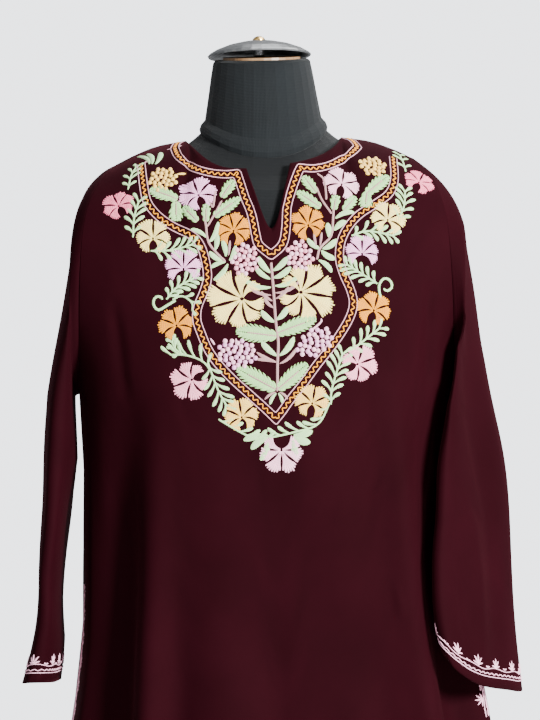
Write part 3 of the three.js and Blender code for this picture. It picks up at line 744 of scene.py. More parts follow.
def laid_out(cloth, across, down, turn):
    """A flat frame on the cloth at a place in the picture, turned clockwise by degrees."""
    middle, normal, _, _ = cloth.ray_cast(sight_from, sight_towards(across, down))
    level = (sight_right - normal * sight_right.dot(normal)).normalized()
    upright = normal.cross(level)
    angle = math.radians(turn)
    up = upright * math.cos(angle) + level * math.sin(angle)
    right = level * math.cos(angle) - upright * math.sin(angle)
    return lambda place: middle + right * place.x + up * place.y


def heading(degrees_from_up, length):
    """A step of this length on the flat frame, turned clockwise from up."""
    angle = math.radians(degrees_from_up)
    return Vector((math.sin(angle), math.cos(angle))) * length


petal_halves = (0.3, 0.42, 0.42, 0.44, 0.6, 0.82, 0.5)
foot_below = 0.14
lobe_length = 0.64
lobe_fill = 0.97
row_fill = 0.56


def blossom(shape, cloth, across, down, size, turn, dye, lobes, spread, rows=7, taper=0.2):
    """A lobed flower: each lobe is a fan of rows that start together near the foot."""
    frame_of = laid_out(cloth, across, down, turn)
    foot = Vector((0, -foot_below * size))
    share = spread / lobes
    for lobe in range(lobes):
        middle = (lobe + 0.5) * share - spread / 2
        length = size * (lobe_length - taper * abs(middle) / 180) * (1 + shades.uniform(-0.06, 0.06))
        fan = share * lobe_fill
        half = math.radians(fan) * length / rows * row_fill
        for row in range(rows):
            away = (row + 0.5) / rows - 0.5
            reach = length * (1 - 0.5 * away ** 2) * (1 + shades.uniform(-0.05, 0.05))
            start = foot + heading(middle + fan * away, length * 0.03)
            bulge = foot + heading(middle * 0.82 + fan * away * 0.3, length * 0.5)
            end = foot + heading(middle + fan * away, reach)
            line = [frame_of(place) for place in bent(start, bulge, end, 6)]
            sew_row(shape, cloth, line, [half * part for part in petal_halves], dye)


tooth_pitch = 0.0048
tooth_notch = 0.26
tooth_halves = (0.9, 1.1, 1.1, 0.8, 0.15)
rib_half = 0.0008


def toothed_leaf(shape, cloth, base, tip, width):
    """A leaf whose rows slant out from its rib, so their ends make its teeth."""
    base, tip = seen(cloth, *base), seen(cloth, *tip)
    _, normal, _, _ = cloth.find_nearest((base + tip) / 2)
    along = tip - base
    aside = along.cross(normal).normalized()
    rows = 2 * max(3, round(along.length / tooth_pitch))
    half = 0.58 * along.length / rows
    for row in range(rows):
        t = row / rows
        tooth = 1 - tooth_notch * (row % 2)
        reach = width / 2 * math.sin(math.pi * (0.2 + 0.8 * t)) ** 0.8 * tooth
        for side in (-1, 1):
            start = base + along * t
            onward = min(reach, along.length * (1 - t))
            end = start + aside * side * reach + along.normalized() * onward
            bulge = start + aside * side * reach * 0.62 + along.normalized() * reach * 0.3
            line = bent(start, bulge, end, 4)
            sew_row(shape, cloth, line, [half * part for part in tooth_halves], "green")
    rib = bent(base - along * 0.06, (base + tip) / 2, base + along * 0.72, 6)
    sew_row(shape, cloth, rib, [rib_half] * 6 + [rib_half / 2], "mauve", row_height * 1.5)


blade_halves = (0.25, 0.6, 0.85, 1.0, 1.0, 0.8, 0.3)


def blade(shape, cloth, base, tip, width, dye, bow):
    """A narrow leaf, pointed at both ends, that bows to one side."""
    base, tip = seen(cloth, *base), seen(cloth, *tip)
    _, normal, _, _ = cloth.find_nearest((base + tip) / 2)
    bulge = (base + tip) / 2 + (tip - base).cross(normal) * bow * 2
    halves = [width / 2 * part for part in blade_halves]
    sew_row(shape, cloth, bent(base, bulge, tip, 6), halves, dye)


berry_radius = 0.0024
berry_rows = (-1, -0.8, -0.4, 0, 0.4, 0.8, 1)
berry_halves = (0.3, 0.72, 0.97, 1.05, 0.97, 0.72, 0.3)
golden_turn = math.pi * (3 - math.sqrt(5))


def berries(shape, cloth, across, down, wide, tall, turn, dyes_used):
    """A cluster of round berries that crowd round its middle."""
    frame_of = laid_out(cloth, across, down, turn)
    count = round(wide * tall / (4 * (berry_radius * 1.2) ** 2))
    for number in range(count):
        away = math.sqrt((number + 0.5) / count) / 2
        round_turn = number * golden_turn
        spot = Vector((math.cos(round_turn) * away * wide, math.sin(round_turn) * away * tall))
        line = [frame_of(spot + Vector((0, berry_radius * part))) for part in berry_rows]
        halves = [berry_radius * part for part in berry_halves]
        sew_row(shape, cloth, line, halves, dyes_used[number % len(dyes_used)], row_height * 1.7)


def curved(places, count):
    """A smooth line through places in the picture."""
    points = [Vector(place) for place in places]
    ends = [points[0] * 2 - points[1], *points, points[-1] * 2 - points[-2]]
    line = [points[0]]
    for before, start, end, after in zip(ends, ends[1:], ends[2:], ends[3:]):
        for step in range(1, count + 1):
            t = step / count
            line.append(0.5 * (2 * start + (end - before) * t
                               + (2 * before - 5 * start + 4 * end - after) * t ** 2
                               + (3 * start - before - 3 * end + after) * t ** 3))
    return line


def evenly(points, step):
    """Points a step apart along a line of points."""
    grid = np.array(points)
    reach = np.concatenate(([0], np.cumsum(np.linalg.norm(np.diff(grid, axis=0), axis=1))))
    wanted = np.linspace(0, reach[-1], max(3, round(reach[-1] / step)) + 1)
    spaced = np.stack([np.interp(wanted, reach, axis) for axis in grid.T], axis=1)
    return [Vector(point) for point in spaced]


def shown_line(cloth, places, count=8):
    """Where a smooth line through places in the picture lies on the cloth."""
    return [seen(cloth, *place) for place in curved(places, count)]


stem_pitch = 0.003
stem_bends = 5


def stem(shape, cloth, places, width, dye):
    """A thin row through places in the picture."""
    line = evenly(shown_line(cloth, places, stem_bends), stem_pitch)
    sew_row(shape, cloth, line, [width / 2] * (len(line) - 1) + [width / 4], dye)


fern_stem_width = 0.0022
leaflet_pitch = 0.001
leaflet_half = 0.0018
leaflet_halves = (0.5, 0.55, 0.62, 0.8, 1.15, 1.2, 0.6)


def fern(shape, cloth, places, leaflets, length, sides):
    """A stem with round-ended leaflets that lean towards its tip."""
    stem(shape, cloth, places, fern_stem_width, "pale_green")
    line = evenly(shown_line(cloth, places, stem_bends), leaflet_pitch)
    for number in range(leaflets):
        t = (number + 0.6) / leaflets
        row = min(len(line) - 2, int(t * len(line)))
        along = (line[row + 1] - line[row - 1]).normalized()
        _, normal, _, _ = cloth.find_nearest(line[row])
        aside = along.cross(normal)
        for side in sides:
            fullness = 0.95 + 0.42 * math.sin(math.pi * t)
            reach = length * fullness * (1 + shades.uniform(-0.12, 0.12))
            way = (aside * side + along * (0.75 + 0.5 * t)).normalized()
            bulge = line[row] + (aside * side * 0.3 + along * 0.62) * reach * 0.6
            tip = line[row] + way * reach
            halves = [leaflet_half * part for part in leaflet_halves]
            sew_row(shape, cloth, bent(line[row], bulge, tip, 6), halves, "pale_green")


def line_beside(cloth, route, asides):
    """Points beside a route on the cloth, each as far aside as asked, kept clear at corners."""
    line = []
    grid = np.array(route)
    last = len(route) - 1
    for row, point in enumerate(route):
        _, normal, _, _ = cloth.find_nearest(point)
        before = (point - route[max(row - 1, 0)]) or (route[1] - route[0])
        after = (route[min(row + 1, last)] - point) or before
        sides = (before.cross(normal).normalized(), after.cross(normal).normalized())
        middle = (sides[0] + sides[1]).normalized()
        beside = point + middle * asides[row] / max(0.5, middle.dot(sides[0]))
        near = cloth.find_nearest(beside)[0]
        if np.linalg.norm(grid - np.array(near), axis=1).min() > abs(asides[row]) * 0.96 - same_place:
            line.append(near)
    return line


wave_length = 0.0066
wave_steps = 12
wave_share = 0.34
wave_half = 0.00068
edge_pitch = 0.0024
edge_half = 0.0006


def border(shape, cloth, route, half_band):
    """Two pink lines with a gold wave between them along a route on the cloth."""
    fine = evenly(route, wave_length / wave_steps)
    for side in (-1, 1):
        line = evenly(line_beside(cloth, fine, [side * half_band] * len(fine)), edge_pitch)
        sew_row(shape, cloth, line, [edge_half] * len(line), "line_pink")
    turns = [2 * math.pi * row / wave_steps for row in range(len(fine))]
    wave = line_beside(cloth, fine, [half_band * wave_share * math.sin(turn) for turn in turns])
    sew_row(shape, cloth, wave, [wave_half] * len(wave), "gold")


def finished(shape, name):
    """The embroidery as a piece of its own that stays with the cloth."""
    mesh = bpy.data.meshes.new(name)
    shape.to_mesh(mesh)
    shape.free()
    mesh.materials.append(cotton)
    for polygon in mesh.polygons:
        polygon.use_smooth = True
    piece = bpy.data.objects.new(name, mesh)
    bpy.context.scene.collection.objects.link(piece)
    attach(piece, "root")


# Borders of the yoke
# Two pink lines with a gold wave between them, once along the neckline and the slit, and once
# round the yoke in an ogee that starts at the shoulders and comes to a point below the chest.
chest = cloth_tree(front, back)
neck_left = [(174.5, 148), (177.5, 155), (184, 161.5), (192.9, 167.6), (204.3, 171.4), (215.7, 173.6),
             (227, 174.3), (236.8, 173.4)]
slit_left = [(236.8, 173.4), (241, 186), (245, 198), (250, 210), (253, 221), (255.7, 235), (259, 245),
             (271, 255)]
slit_right = [(271, 255), (280, 247.5), (284, 240), (286, 226), (287, 207), (291, 192), (296.6, 176),
              (300.3, 167.6)]
neck_right = [(300.3, 167.6), (314, 168.4), (328, 165.7), (342, 159.5), (350.5, 153.5), (357.5, 147)]
yoke_left = [(141, 163.5), (144, 189), (148, 203.6), (158.6, 216.4), (173, 226.4), (193, 236.4),
             (201.5, 248), (206, 264), (207.3, 278), (204, 291), (197.8, 306.5), (196.7, 320),
             (201.7, 335), (208.3, 350), (218.3, 364.2), (233.3, 380), (250, 395), (266.7, 410),
             (275.8, 419)]
yoke_right = [(275.8, 419), (281.7, 411.7), (290, 400), (303.3, 383.3), (316.7, 365), (330, 348.3),
              (341.7, 331.7), (350, 316.7), (353.3, 303.3), (350.5, 290), (343.5, 274), (339.4, 258.6),
              (341, 241.4), (348, 227), (359.4, 214.3), (376.6, 203), (389.4, 193), (394.4, 178.6),
              (393, 157)]
neck_half_band = 0.0044
yoke_half_band = 0.0042
neck_point = 0.0845
neck_back_foot = 1.345
behind_in = 0.0095
behind_dip = 0.0045
behind_half = 0.084
behind_pitch = 0.003

# The neckline's border is carried round the back of the neck, a little in from its edge.
neck_route = [place for part in (neck_left, slit_left, slit_right, neck_right)
              for place in shown_line(chest, part)]
back_rim = [back.data.vertices[number].co for number in rim_points(back.data)]
neck_rim = [place for place in back_rim if abs(place.x) < neck_point and place.z > neck_back_foot]
neck_edge = evenly(sorted(neck_rim, key=lambda place: place.x), behind_pitch)
asides = [-behind_in - behind_dip * (place.x / behind_half) ** 4 for place in neck_edge]
behind = line_beside(chest, neck_edge, asides)[2:-2]
yoke_route = shown_line(chest, yoke_left) + shown_line(chest, yoke_right)
borders = needlework()
border(borders, chest, neck_route + behind[::-1] + neck_route[:1], neck_half_band)
border(borders, chest, yoke_route, yoke_half_band)
finished(borders, "yoke_borders")


# Flowers and leaves
# A plant with paired leaves climbs the middle of the yoke between two large leaves, flowers and
# clusters of berries. Outside the border a garland of flowers joined by ferns hangs round it.
flower_table = [
    # across, down, size, turn, dye, lobes, spread
    (197.0, 191.0, 0.038, -20, "lilac", 6, 338),
    (342.5, 180.5, 0.037, 10, "pale_pink", 6, 338),
    (234.3, 226.5, 0.034, 10, "gold", 7, 340),
    (307.5, 221.0, 0.034, -10, "gold", 7, 340),
    (117.0, 203.0, 0.032, -25, "rose", 6, 335),
    (420.0, 180.0, 0.032, 20, "rose", 6, 335),
    (153.0, 234.0, 0.036, 0, "cream", 6, 338),
    (388.0, 215.5, 0.036, 5, "cream", 6, 338),
    (183.5, 264.5, 0.036, 0, "lilac", 6, 280),
    (362.0, 249.5, 0.035, 0, "lilac", 6, 280),
    (175.5, 321.0, 0.035, -12, "gold", 6, 335),
    (375.0, 306.0, 0.035, 15, "gold", 6, 335),
    (187.0, 381.5, 0.038, -110, "pink", 6, 338),
    (362.0, 362.5, 0.038, 70, "pink", 6, 338),
    (241.0, 413.0, 0.033, -10, "peach", 6, 338),
    (313.0, 399.0, 0.034, 10, "peach", 6, 338),
    (281.5, 455.5, 0.041, 180, "pale_pink", 6, 300),
]
leaf_table = [
    # base, tip, width
    ((177, 199), (149, 189), 0.016),
    ((176, 202), (176, 221.5), 0.016),
    ((367, 193), (389, 175.5), 0.016),
    ((367, 192), (365, 207.5), 0.016),
    ((222, 197), (234, 179.5), 0.013),
    ((214.5, 216), (241, 197), 0.013),
    ((316, 192), (302.5, 175.5), 0.013),
    ((320, 207), (296, 191), 0.013),
    ((197, 221), (183, 206), 0.012),
    ((206, 221), (206, 203), 0.010),
    ((334, 209), (336, 194.5), 0.011),
    ((344, 210), (356, 196), 0.012),
    ((276, 336), (235, 331), 0.020),
    ((277, 333), (317, 318), 0.018),
    ((275, 389), (236, 368), 0.020),
    ((278, 389), (308, 363), 0.018),
]
blade_table = [
    # base, tip, width, dye, bow
    ((207, 238), (190, 229), 0.005, "pale_green", 0.1),
    ((208, 243), (218, 221), 0.006, "pale_green", 0.12),
    ((215, 251), (217, 233), 0.006, "pale_green", 0.05),
    ((223, 261), (209, 251), 0.006, "pale_green", -0.1),
    ((226, 262), (210, 268.5), 0.005, "pale_green", 0.1),
    ((228, 263), (213, 280.5), 0.006, "pale_green", -0.1),
    ((226, 257), (222, 239), 0.006, "pale_green", 0.05),
    ((229, 261), (235.5, 245), 0.006, "pale_green", 0.1),
    ((335, 219), (355, 212.5), 0.006, "pale_green", -0.12),
    ((334, 231), (347, 221), 0.007, "pale_green", -0.1),
    ((329, 238), (327, 222.5), 0.007, "pale_green", 0.05),
    ((321, 249), (307, 238), 0.006, "pale_green", -0.1),
    ((322, 249), (337, 238.5), 0.007, "pale_green", 0.1),
    ((321, 250), (336, 259), 0.007, "pale_green", 0.1),
    ((318, 260), (332, 273), 0.006, "pale_green", -0.12),
    ((228.5, 256), (230, 240), 0.003, "mauve", 0),
    ((316.5, 249), (313.5, 232), 0.003, "mauve", 0),
    ((320, 246), (321.8, 232), 0.003, "mauve", 0),
    ((271, 273), (258, 256), 0.007, "pale_green", -0.08),
    ((271, 279), (255, 266), 0.006, "pale_green", -0.1),
    ((272, 287), (243, 278), 0.006, "pale_green", -0.14),
    ((272, 295), (247, 285), 0.004, "mauve", -0.12),
    ((273, 301), (261, 291), 0.004, "mauve", -0.1),
    ((274, 308), (264, 297), 0.004, "mauve", -0.1),
    ((275, 322), (261, 310), 0.007, "pale_green", -0.1),
    ((272.5, 271), (288, 256), 0.007, "pale_green", 0.08),
    ((273, 278), (291, 266), 0.007, "pale_green", 0.1),
    ((274, 286), (299, 275), 0.006, "pale_green", 0.12),
    ((274, 293), (301, 278.5), 0.004, "mauve", 0.14),
    ((275, 299), (289, 286), 0.004, "mauve", 0.1),
    ((276, 320), (288, 306), 0.007, "pale_green", 0.1),
    ((277.5, 356), (261, 341), 0.007, "pale_green", -0.06),
    ((279, 356), (294, 336), 0.007, "pale_green", 0.1),
    ((277, 362), (256, 352), 0.004, "mauve", -0.05),
    ((277, 362.5), (255, 359.5), 0.004, "mauve", 0.05),
    ((279, 364), (297, 347), 0.004, "mauve", 0.1),
    ((276.5, 392), (264.5, 400), 0.003, "mauve", 0.1),
    ((276.5, 393), (270, 405), 0.004, "pale_green", 0.1),
    ((278, 393), (282.5, 404), 0.004, "pale_green", -0.1),
    ((279, 392), (288, 399.5), 0.003, "mauve", -0.1),
    ((268, 437), (243, 441), 0.008, "pale_green", 0.1),
    ((268, 438), (251, 450), 0.008, "pale_green", 0.1),
    ((268, 439), (260, 461), 0.008, "pale_green", -0.1),
    ((293, 435), (313, 430), 0.008, "pale_green", 0.1),
    ((293, 436), (311, 442), 0.009, "pale_green", 0.1),
    ((293, 437), (299, 457), 0.008, "pale_green", 0.1),
    ((150, 165), (136, 157), 0.006, "pale_green", 0.1),
    ((152, 165), (146, 154), 0.006, "pale_green", 0.1),
    ((155, 165), (160, 152), 0.007, "pale_green", 0.1),
    ((176, 174.5), (186, 173.5), 0.003, "peach", 0),
]
fern_table = [
    # places, leaflets, length, sides
    ([(150, 251), (172, 250), (194, 244)], 6, 0.012, (-1, 1)),
    ([(133, 238), (134, 218), (139, 200)], 5, 0.012, (-1, 1)),
    ([(128, 190), (131, 176), (137, 166)], 4, 0.010, (-1, 1)),
    ([(166, 300), (176, 288), (196, 277)], 6, 0.011, (-1, 1)),
    ([(172, 300), (182, 296), (192, 303), (192, 312)], 4, 0.008, (-1,)),
    ([(211, 371), (202, 361), (185, 355), (169, 355)], 6, 0.014, (1,)),
    ([(185, 355), (176, 350), (171, 340)], 3, 0.008, (-1, 1)),
    ([(208, 363), (217, 388), (227, 407)], 6, 0.013, (-1, 1)),
    ([(218, 419), (233, 428), (250, 436.5), (269, 438)], 6, 0.012, (-1,)),
    ([(330, 402), (318, 424), (295, 432), (268, 438)], 8, 0.012, (1,)),
    ([(331, 405), (332, 388), (343, 352)], 7, 0.013, (-1, 1)),
    ([(349, 352), (362, 342), (381, 327)], 5, 0.012, (-1, 1)),
    ([(378, 284), (362, 274), (346, 264)], 6, 0.011, (-1, 1)),
    ([(351, 236), (368, 231), (395, 236)], 6, 0.011, (-1, 1)),
    ([(397, 222), (404, 206), (405, 190)], 5, 0.012, (-1, 1)),
    ([(406, 172), (403, 162), (399, 154)], 3, 0.010, (-1, 1)),
]
stem_table = [
    # places, width, dye
    ([(271, 262), (273.3, 288), (275.8, 322), (278.3, 342), (277.5, 364), (277.5, 392)], 0.0030,
     "mauve"),
    ([(226, 262), (215.7, 252), (208, 241), (205.7, 224), (203, 214)], 0.0026, "mauve"),
    ([(207, 227), (215.7, 212), (222, 200)], 0.0024, "mauve"),
    ([(213, 208), (215.7, 189)], 0.0024, "mauve"),
    ([(213, 208), (207, 198)], 0.0022, "mauve"),
    ([(317, 260), (320, 248), (331, 236), (333, 219), (333.7, 204)], 0.0026, "mauve"),
    ([(332, 214), (322, 200), (316, 186)], 0.0024, "mauve"),
    ([(326.5, 200), (324, 180), (316.5, 173)], 0.0024, "mauve"),
    ([(176, 300), (166, 306), (158.5, 310), (153.5, 305), (154.5, 298), (160, 296.5), (163, 300)],
     0.0030, "pale_green"),
    ([(381, 300), (379, 286), (384, 278.5), (390, 280.5), (392, 287), (387, 291), (383, 288)],
     0.0028, "pale_green"),
    ([(174, 346), (175, 335)], 0.0022, "pale_green"),
    ([(236.5, 347), (236, 338)], 0.0022, "pale_pink"),
    ([(215, 345), (210, 338)], 0.0022, "pale_pink"),
    ([(312, 330), (321, 322), (321, 318)], 0.0022, "pale_pink"),
]
cluster_table = [
    # across, down, wide, tall, turn, dyes
    (163.0, 178.5, 0.031, 0.031, 0, ("peach",)),
    (373.0, 166.0, 0.030, 0.028, -15, ("peach",)),
    (245.5, 259.5, 0.029, 0.033, 10, ("pink", "pale_pink")),
    (299.5, 255.5, 0.027, 0.033, -15, ("pink", "pale_pink")),
    (236.5, 353.5, 0.042, 0.030, 10, ("lilac", "pale_pink")),
    (315.0, 342.5, 0.042, 0.026, -32, ("lilac", "pale_pink")),
]
big_leaf_table = [
    # name, across, down, turn
    ("right", 234, 301, -106),
    ("left", 309, 293.5, 98),
]
big_leaf_size = 0.064
for used in sorted({row[4] for row in flower_table}):
    flowers = needlework()
    for across, down, size, turn, dye, lobes, spread in flower_table:
        if dye == used:
            blossom(flowers, chest, across, down, size, turn, dye, lobes, spread)
    finished(flowers, "flowers_" + used)
for name, across, down, turn in big_leaf_table:
    big_leaf = needlework()
    blossom(big_leaf, chest, across, down, big_leaf_size, turn, "cream", 8, 345, rows=9, taper=0.33)
    finished(big_leaf, "big_leaf_" + name)
clusters = needlework()
for across, down, wide, tall, turn, used in cluster_table:
    berries(clusters, chest, across, down, wide, tall, turn, used)
finished(clusters, "berry_clusters")
ferns = needlework()
for places, leaflets, length, sides in fern_table:
    fern(ferns, chest, places, leaflets, length, sides)
finished(ferns, "garland_ferns")
leaves = needlework()
for base, tip, width in leaf_table:
    toothed_leaf(leaves, chest, base, tip, width)
finished(leaves, "toothed_leaves")
stems = needlework()
for base, tip, width, dye, bow in blade_table:
    blade(stems, chest, base, tip, width, dye, bow)
for places, width, dye in stem_table:
    stem(stems, chest, places, width, dye)
finished(stems, "stems_and_blades")


# Vines on the cuffs and pockets
# In pale pink: a straight line nearest the edge, a waved line, and a vine with sprigs of five
# leaves and single buds. The same vine edges each pocket opening in the side seams.
cut_edge = 0.0005
sprig_leaf_halves = (0.0003, 0.0004, 0.0006, 0.0009, 0.0010, 0.0007, 0.0003)
sprig_spread = 2.3
vine_pitch = 0.0008
vine_half = 0.0005
vine_lines = (
    # inward, sway, length of a sway
    (0.0105, 0, 1),
    (0.0135, 0.0007, 0.0085),
    (0.0185, 0.0012, 0.045),
)
sprig_foot = 0.0188
sprig_top = 0.026
sprig_beside = 0.004
bud_share = 0.45


def flat_map(mesh):
    """Finds the place on a sleeve for a place on its flat cut, in metres along and up it. Also
    gives where the cut starts at the cuff, and how far it goes round."""
    mesh.calc_loop_triangles()
    corner_places = [loop.uv.copy() for loop in mesh.uv_layers["cut"].data]
    flat_points, solid_points, faces = [], [], []
    for triangle in mesh.loop_triangles:
        start = len(flat_points)
        flat_points += [Vector((*corner_places[corner], 0)) for corner in triangle.loops]
        solid_points += [mesh.vertices[number].co.copy() for number in triangle.vertices]
        faces.append((start, start + 1, start + 2))
    flat = BVHTree.FromPolygons(flat_points, faces)
    cuff = [point.x for point in flat_points if point.y < cut_edge]
    flat_round = max(cuff) - min(cuff)

    def place(along, up):
        spots = [Vector((along + turn * flat_round, up, 0)) for turn in (0, -1, 1)]
        found = [flat.find_nearest(spot) for spot in spots]
        near, _, number, _ = min(found, key=lambda hit: hit[3])
        flat_corners = [flat_points[corner] for corner in faces[number]]
        solid_corners = [solid_points[corner] for corner in faces[number]]
        return barycentric_transform(near, *flat_corners, *solid_corners)

    return place, min(cuff), flat_round


def sprig(shape, cloth, base, up, aside, size, leaves):
    """Leaves that fan out from a point of a vine."""
    for number in range(leaves):
        away = number / (leaves - 1) - 0.5
        reach = size * (1 - 0.9 * away ** 2)
        way = up * math.cos(away * sprig_spread) + aside * math.sin(away * sprig_spread)
        bulge = base + (up * 0.6 + way * 0.4) * reach * 0.4
        sew_row(shape, cloth, bent(base, bulge, base + way * reach, 6), sprig_leaf_halves, "pale_pink")


def vine(shape, cloth, at, length, sprigs, size):
    """A vine along an edge. At gives the place so far along and so far in from the edge."""
    steps = round(length / vine_pitch)
    for inward, sway, sway_length in vine_lines:
        alongs = [length * i / steps for i in range(steps + 1)]
        line = [at(along, inward + sway * math.sin(2 * math.pi * along / sway_length)) for along in alongs]
        sew_row(shape, cloth, line, [vine_half] * len(line), "pale_pink")
    for number in range(2 * sprigs):
        along = length * (number + 0.5) / (2 * sprigs)
        base = at(along, sprig_foot)
        up = (at(along, sprig_top) - base).normalized()
        aside = (at(along + sprig_beside, sprig_foot) - base).normalized()
        full = number % 2 == 0
        sprig(shape, cloth, base, up, aside, size if full else size * bud_share, 5 if full else 2)


ring_steps = 90
ring_height = 0.004
rise = 0.02
sprig_pitch = 0.034
cuff_sprig_size = 0.0120
for name, sleeve in (("left", sleeve_left), ("right", sleeve_right)):
    cuff_vine = needlework()
    place_on, first, flat_round = flat_map(sleeve.data)
    alongs = [first + flat_round * i / ring_steps for i in range(ring_steps + 1)]
    ring = [place_on(along, ring_height) for along in alongs]
    true_round = sum((after - before).length for before, after in zip(ring, ring[1:]))

    def above_cuff(along, inward):
        """The place on the sleeve so far round it and so far above the cuff's edge."""
        flat_along = first + flat_round * along / true_round
        edge, higher = place_on(flat_along, 0.0), place_on(flat_along, rise)
        return place_on(flat_along, rise * inward / (higher - edge).length)

    sprigs = round(true_round / sprig_pitch)
    vine(cuff_vine, cloth_tree(sleeve), above_cuff, true_round, sprigs, cuff_sprig_size)
    finished(cuff_vine, "cuff_vine_" + name)

pocket_top = 0.898
pocket_length = 0.15
pocket_sprigs = 6
pocket_sprig_size = 0.0110
beside_body = 0.6
pocket_table = [
    # name, hand, how far the opening's edge lies in front of the form's middle
    ("left", 1, 0.046),
    ("right", -1, 0.006),
]
for name, hand, seam in pocket_table:
    pocket_vine = needlework()

    def beside_seam(along, inward):
        """The place on the front so far down the pocket opening and so far in from the seam."""
        start = Vector((hand * beside_body, -seam - inward, pocket_top - along))
        return chest.ray_cast(start, Vector((-hand, 0, 0)))[0]

    vine(pocket_vine, chest, beside_seam, pocket_length, pocket_sprigs, pocket_sprig_size)
    finished(pocket_vine, "pocket_vine_" + name)


# Dress form
# A limbless body of light foam under a tight cover of dark slate knit, with a neck piece that sits
# on it in a flared ledge. It holds the garment at the shoulders and stands on the pole.
def grain_material(name, dark, light, scale, stretch, rough, relief, metal=0.0):
    """A finish with a fine grain in the object's own axes, stretched as the size of a grain is."""
    material, tree, shader = new_material(name, {"Metallic": metal})
    place = tree.nodes.new("ShaderNodeTexCoord")
    sized = tree.nodes.new("ShaderNodeVectorMath")
    sized.operation = "MULTIPLY"
    link(tree, place, "Object", sized, 0)
    sized.inputs[1].default_value = stretch
    grain = noise(tree, sized, 0, scale, detail=5).outputs["Fac"]
    broad = noise(tree, place, "Object", scale=14, detail=3).outputs["Fac"]
    mixed = weighed(tree, grain, 0.65, broad, 0.35)
    coloured(tree, shader, mixed, dark, light, low=0.32, high=0.68)
    uneven = maths(tree, "ADD", maths(tree, "MULTIPLY", broad, 0.18), rough - 0.09)
    tree.links.new(uneven, shader.inputs["Roughness"])
    raised(tree, shader, grain, strength=0.4, distance=relief)
    return material


def knit_material(name, dark, light, wales):
    """A fine jersey: columns of small stitches that run down the form, with painted shade between the
    stitches.
    """
    material, tree, shader = new_material(name, {"Sheen Weight": 0.08, "Specular IOR Level": 0.2})
    place = tree.nodes.new("ShaderNodeTexCoord")
    split = tree.nodes.new("ShaderNodeSeparateXYZ")
    link(tree, place, "Object", split, 0)
    round_place = maths(tree, "ARCTAN2", split.outputs["Y"], split.outputs["X"])
    column = maths(tree, "ABSOLUTE", maths(tree, "SINE", maths(tree, "MULTIPLY", round_place, wales)))
    lean = maths(tree, "MULTIPLY", column, 0.0009)
    up = maths(tree, "ADD", split.outputs["Z"], lean)
    course = maths(tree, "MULTIPLY", up, 2 * math.pi / course_height)
    stitch = maths(tree, "MULTIPLY", maths(tree, "ADD", maths(tree, "SINE", course), 1.6), column)
    drift = noise(tree, place, "Object", scale=22, detail=6).outputs["Fac"]
    # The stitches' height lightens the colour: painted shade between the stitches, mixed with the yarn's
    # own uneven tone.
    coloured(tree, shader, weighed(tree, stitch, 0.16, drift, 0.6), dark, light, low=0.2, high=0.75)
    rough = maths(tree, "SUBTRACT", 0.85, maths(tree, "MULTIPLY", stitch, 0.06))
    tree.links.new(rough, shader.inputs["Roughness"])
    raised(tree, shader, stitch, strength=0.5, distance=knit_relief)
    return material


def finish_node(node, material):
    """Gives a solid that the scene shows as it is its finish, with soft shading on its curves."""
    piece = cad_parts[node]
    piece.data.materials.clear()
    piece.data.materials.append(material)
    for polygon in piece.data.polygons:
        polygon.use_smooth = True
    shape = bmesh.new()
    shape.from_mesh(piece.data)
    for edge in shape.edges:
        edge.smooth = edge.is_manifold and edge.calc_face_angle(0) < sharp_from
    shape.to_mesh(piece.data)
    shape.free()


course_height = 0.0016
knit_relief = 0.0003
sharp_from = math.radians(35)
# The body's knit is much darker than the neck's. This is painted shade where the garment hangs over the
# body.
body_knit_with_painted_shade = knit_material("slate knit on the body, darkened by painted shade", dark=(0.0009, 0.0014, 0.0018),
                          light=(0.0028, 0.0042, 0.0052), wales=330)
neck_knit = knit_material("slate knit on the neck", dark=(0.0018, 0.003, 0.0036),
                          light=(0.0052, 0.0078, 0.0094), wales=130)
finish_node("form_body", body_knit_with_painted_shade)
finish_node("form_neck", neck_knit)


# Neck cap
# The neck ends in a turned disc of pale wood. A shallow domed cap of grey lacquered steel stands
# over it on a short spindle and is held by a small brass nut with a button top.
wood = grain_material("varnished wood", dark=(0.20, 0.10, 0.045), light=(0.42, 0.25, 0.12),
                      scale=60, stretch=(1, 9, 1), rough=0.4, relief=0.0002)
steel = grain_material("brushed steel", dark=(0.42, 0.43, 0.45), light=(0.60, 0.61, 0.63),
                       scale=90, stretch=(1, 1, 12), rough=0.32, relief=0.00005, metal=1)
lacquer = grain_material("grey lacquered steel", dark=(0.10, 0.105, 0.11), light=(0.20, 0.205, 0.21),
                         scale=120, stretch=(1, 1, 1), rough=0.3, relief=0.00004, metal=0.7)
brass = grain_material("polished brass", dark=(0.55, 0.34, 0.11), light=(0.80, 0.55, 0.22),
                       scale=80, stretch=(1, 1, 6), rough=0.22, relief=0.00004, metal=1)
finish_node("neck_disc", wood)
finish_node("cap_spindle", steel)
finish_node("neck_cap", lacquer)
finish_node("cap_nut", brass)


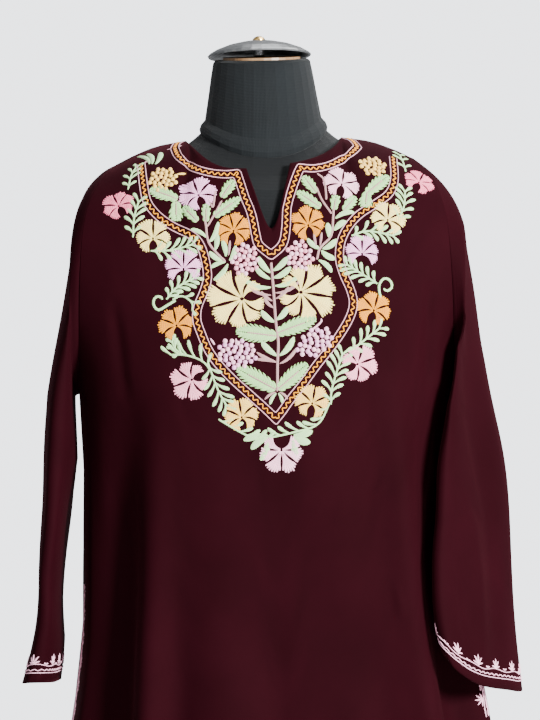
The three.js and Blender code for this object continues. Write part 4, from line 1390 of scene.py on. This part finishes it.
# Pole and base
# A steel tube screwed into a plate under the body, on a round base of black enamelled iron that
# is heavy enough to keep the form from tipping.
enamel = grain_material("black enamelled iron", dark=(0.010, 0.010, 0.011), light=(0.024, 0.024, 0.026),
                        scale=160, stretch=(1, 1, 1), rough=0.42, relief=0.0002)
finish_node("form_plate", enamel)
finish_node("pole", steel)
finish_node("stand_base", enamel)


# The light and the floor
# A pale floor and a pale room, with one large soft lamp in front on the wearer's left, a weaker
# one on the right and one above.
def lamp(name, place, aim, size, power):
    data = bpy.data.lights.new(name, "AREA")
    data.shape = "DISK"
    data.size = size
    data.energy = power
    light = bpy.data.objects.new(name, data)
    light.location = place
    light.rotation_euler = (Vector(aim) - Vector(place)).to_track_quat("-Z", "Y").to_euler()
    bpy.context.scene.collection.objects.link(light)


lamp("key", place=(1.85, -2.45, 1.9), aim=(0, 0, 1.1), size=0.9, power=330)
lamp("fill", place=(-1.9, -2.2, 1.6), aim=(0, 0, 1.1), size=1.4, power=8)
lamp("top", place=(0.5, 0.4, 3.0), aim=(0, 0, 1.2), size=1.6, power=45)

# The room lights the garment softly, and is much brighter where the camera sees it directly.
room_light = 0.5
room_seen = 3.2
world = bpy.data.worlds.new("room")
world.use_nodes = True
room = world.node_tree
room.nodes["Background"].inputs["Color"].default_value = (0.82, 0.84, 0.88, 1)
sight = room.nodes.new("ShaderNodeLightPath")
shown = maths(room, "MULTIPLY", sight.outputs["Is Camera Ray"], room_seen)
room.links.new(maths(room, "ADD", shown, room_light), room.nodes["Background"].inputs["Strength"])
bpy.context.scene.world = world

floor_radius = 3.5
floor_drop = 0.0005
floor_mesh = bpy.data.meshes.new("floor")
floor_shape = bmesh.new()
bmesh.ops.create_circle(floor_shape, cap_ends=True, segments=96, radius=floor_radius)
floor_shape.to_mesh(floor_mesh)
floor_shape.free()
floor_mesh.materials.append(new_material("pale floor", {
    "Base Color": (0.72, 0.72, 0.72, 1), "Roughness": 0.6})[0])
floor = bpy.data.objects.new("floor", floor_mesh)
floor.location.z = -floor_drop
bpy.context.scene.collection.objects.link(floor)
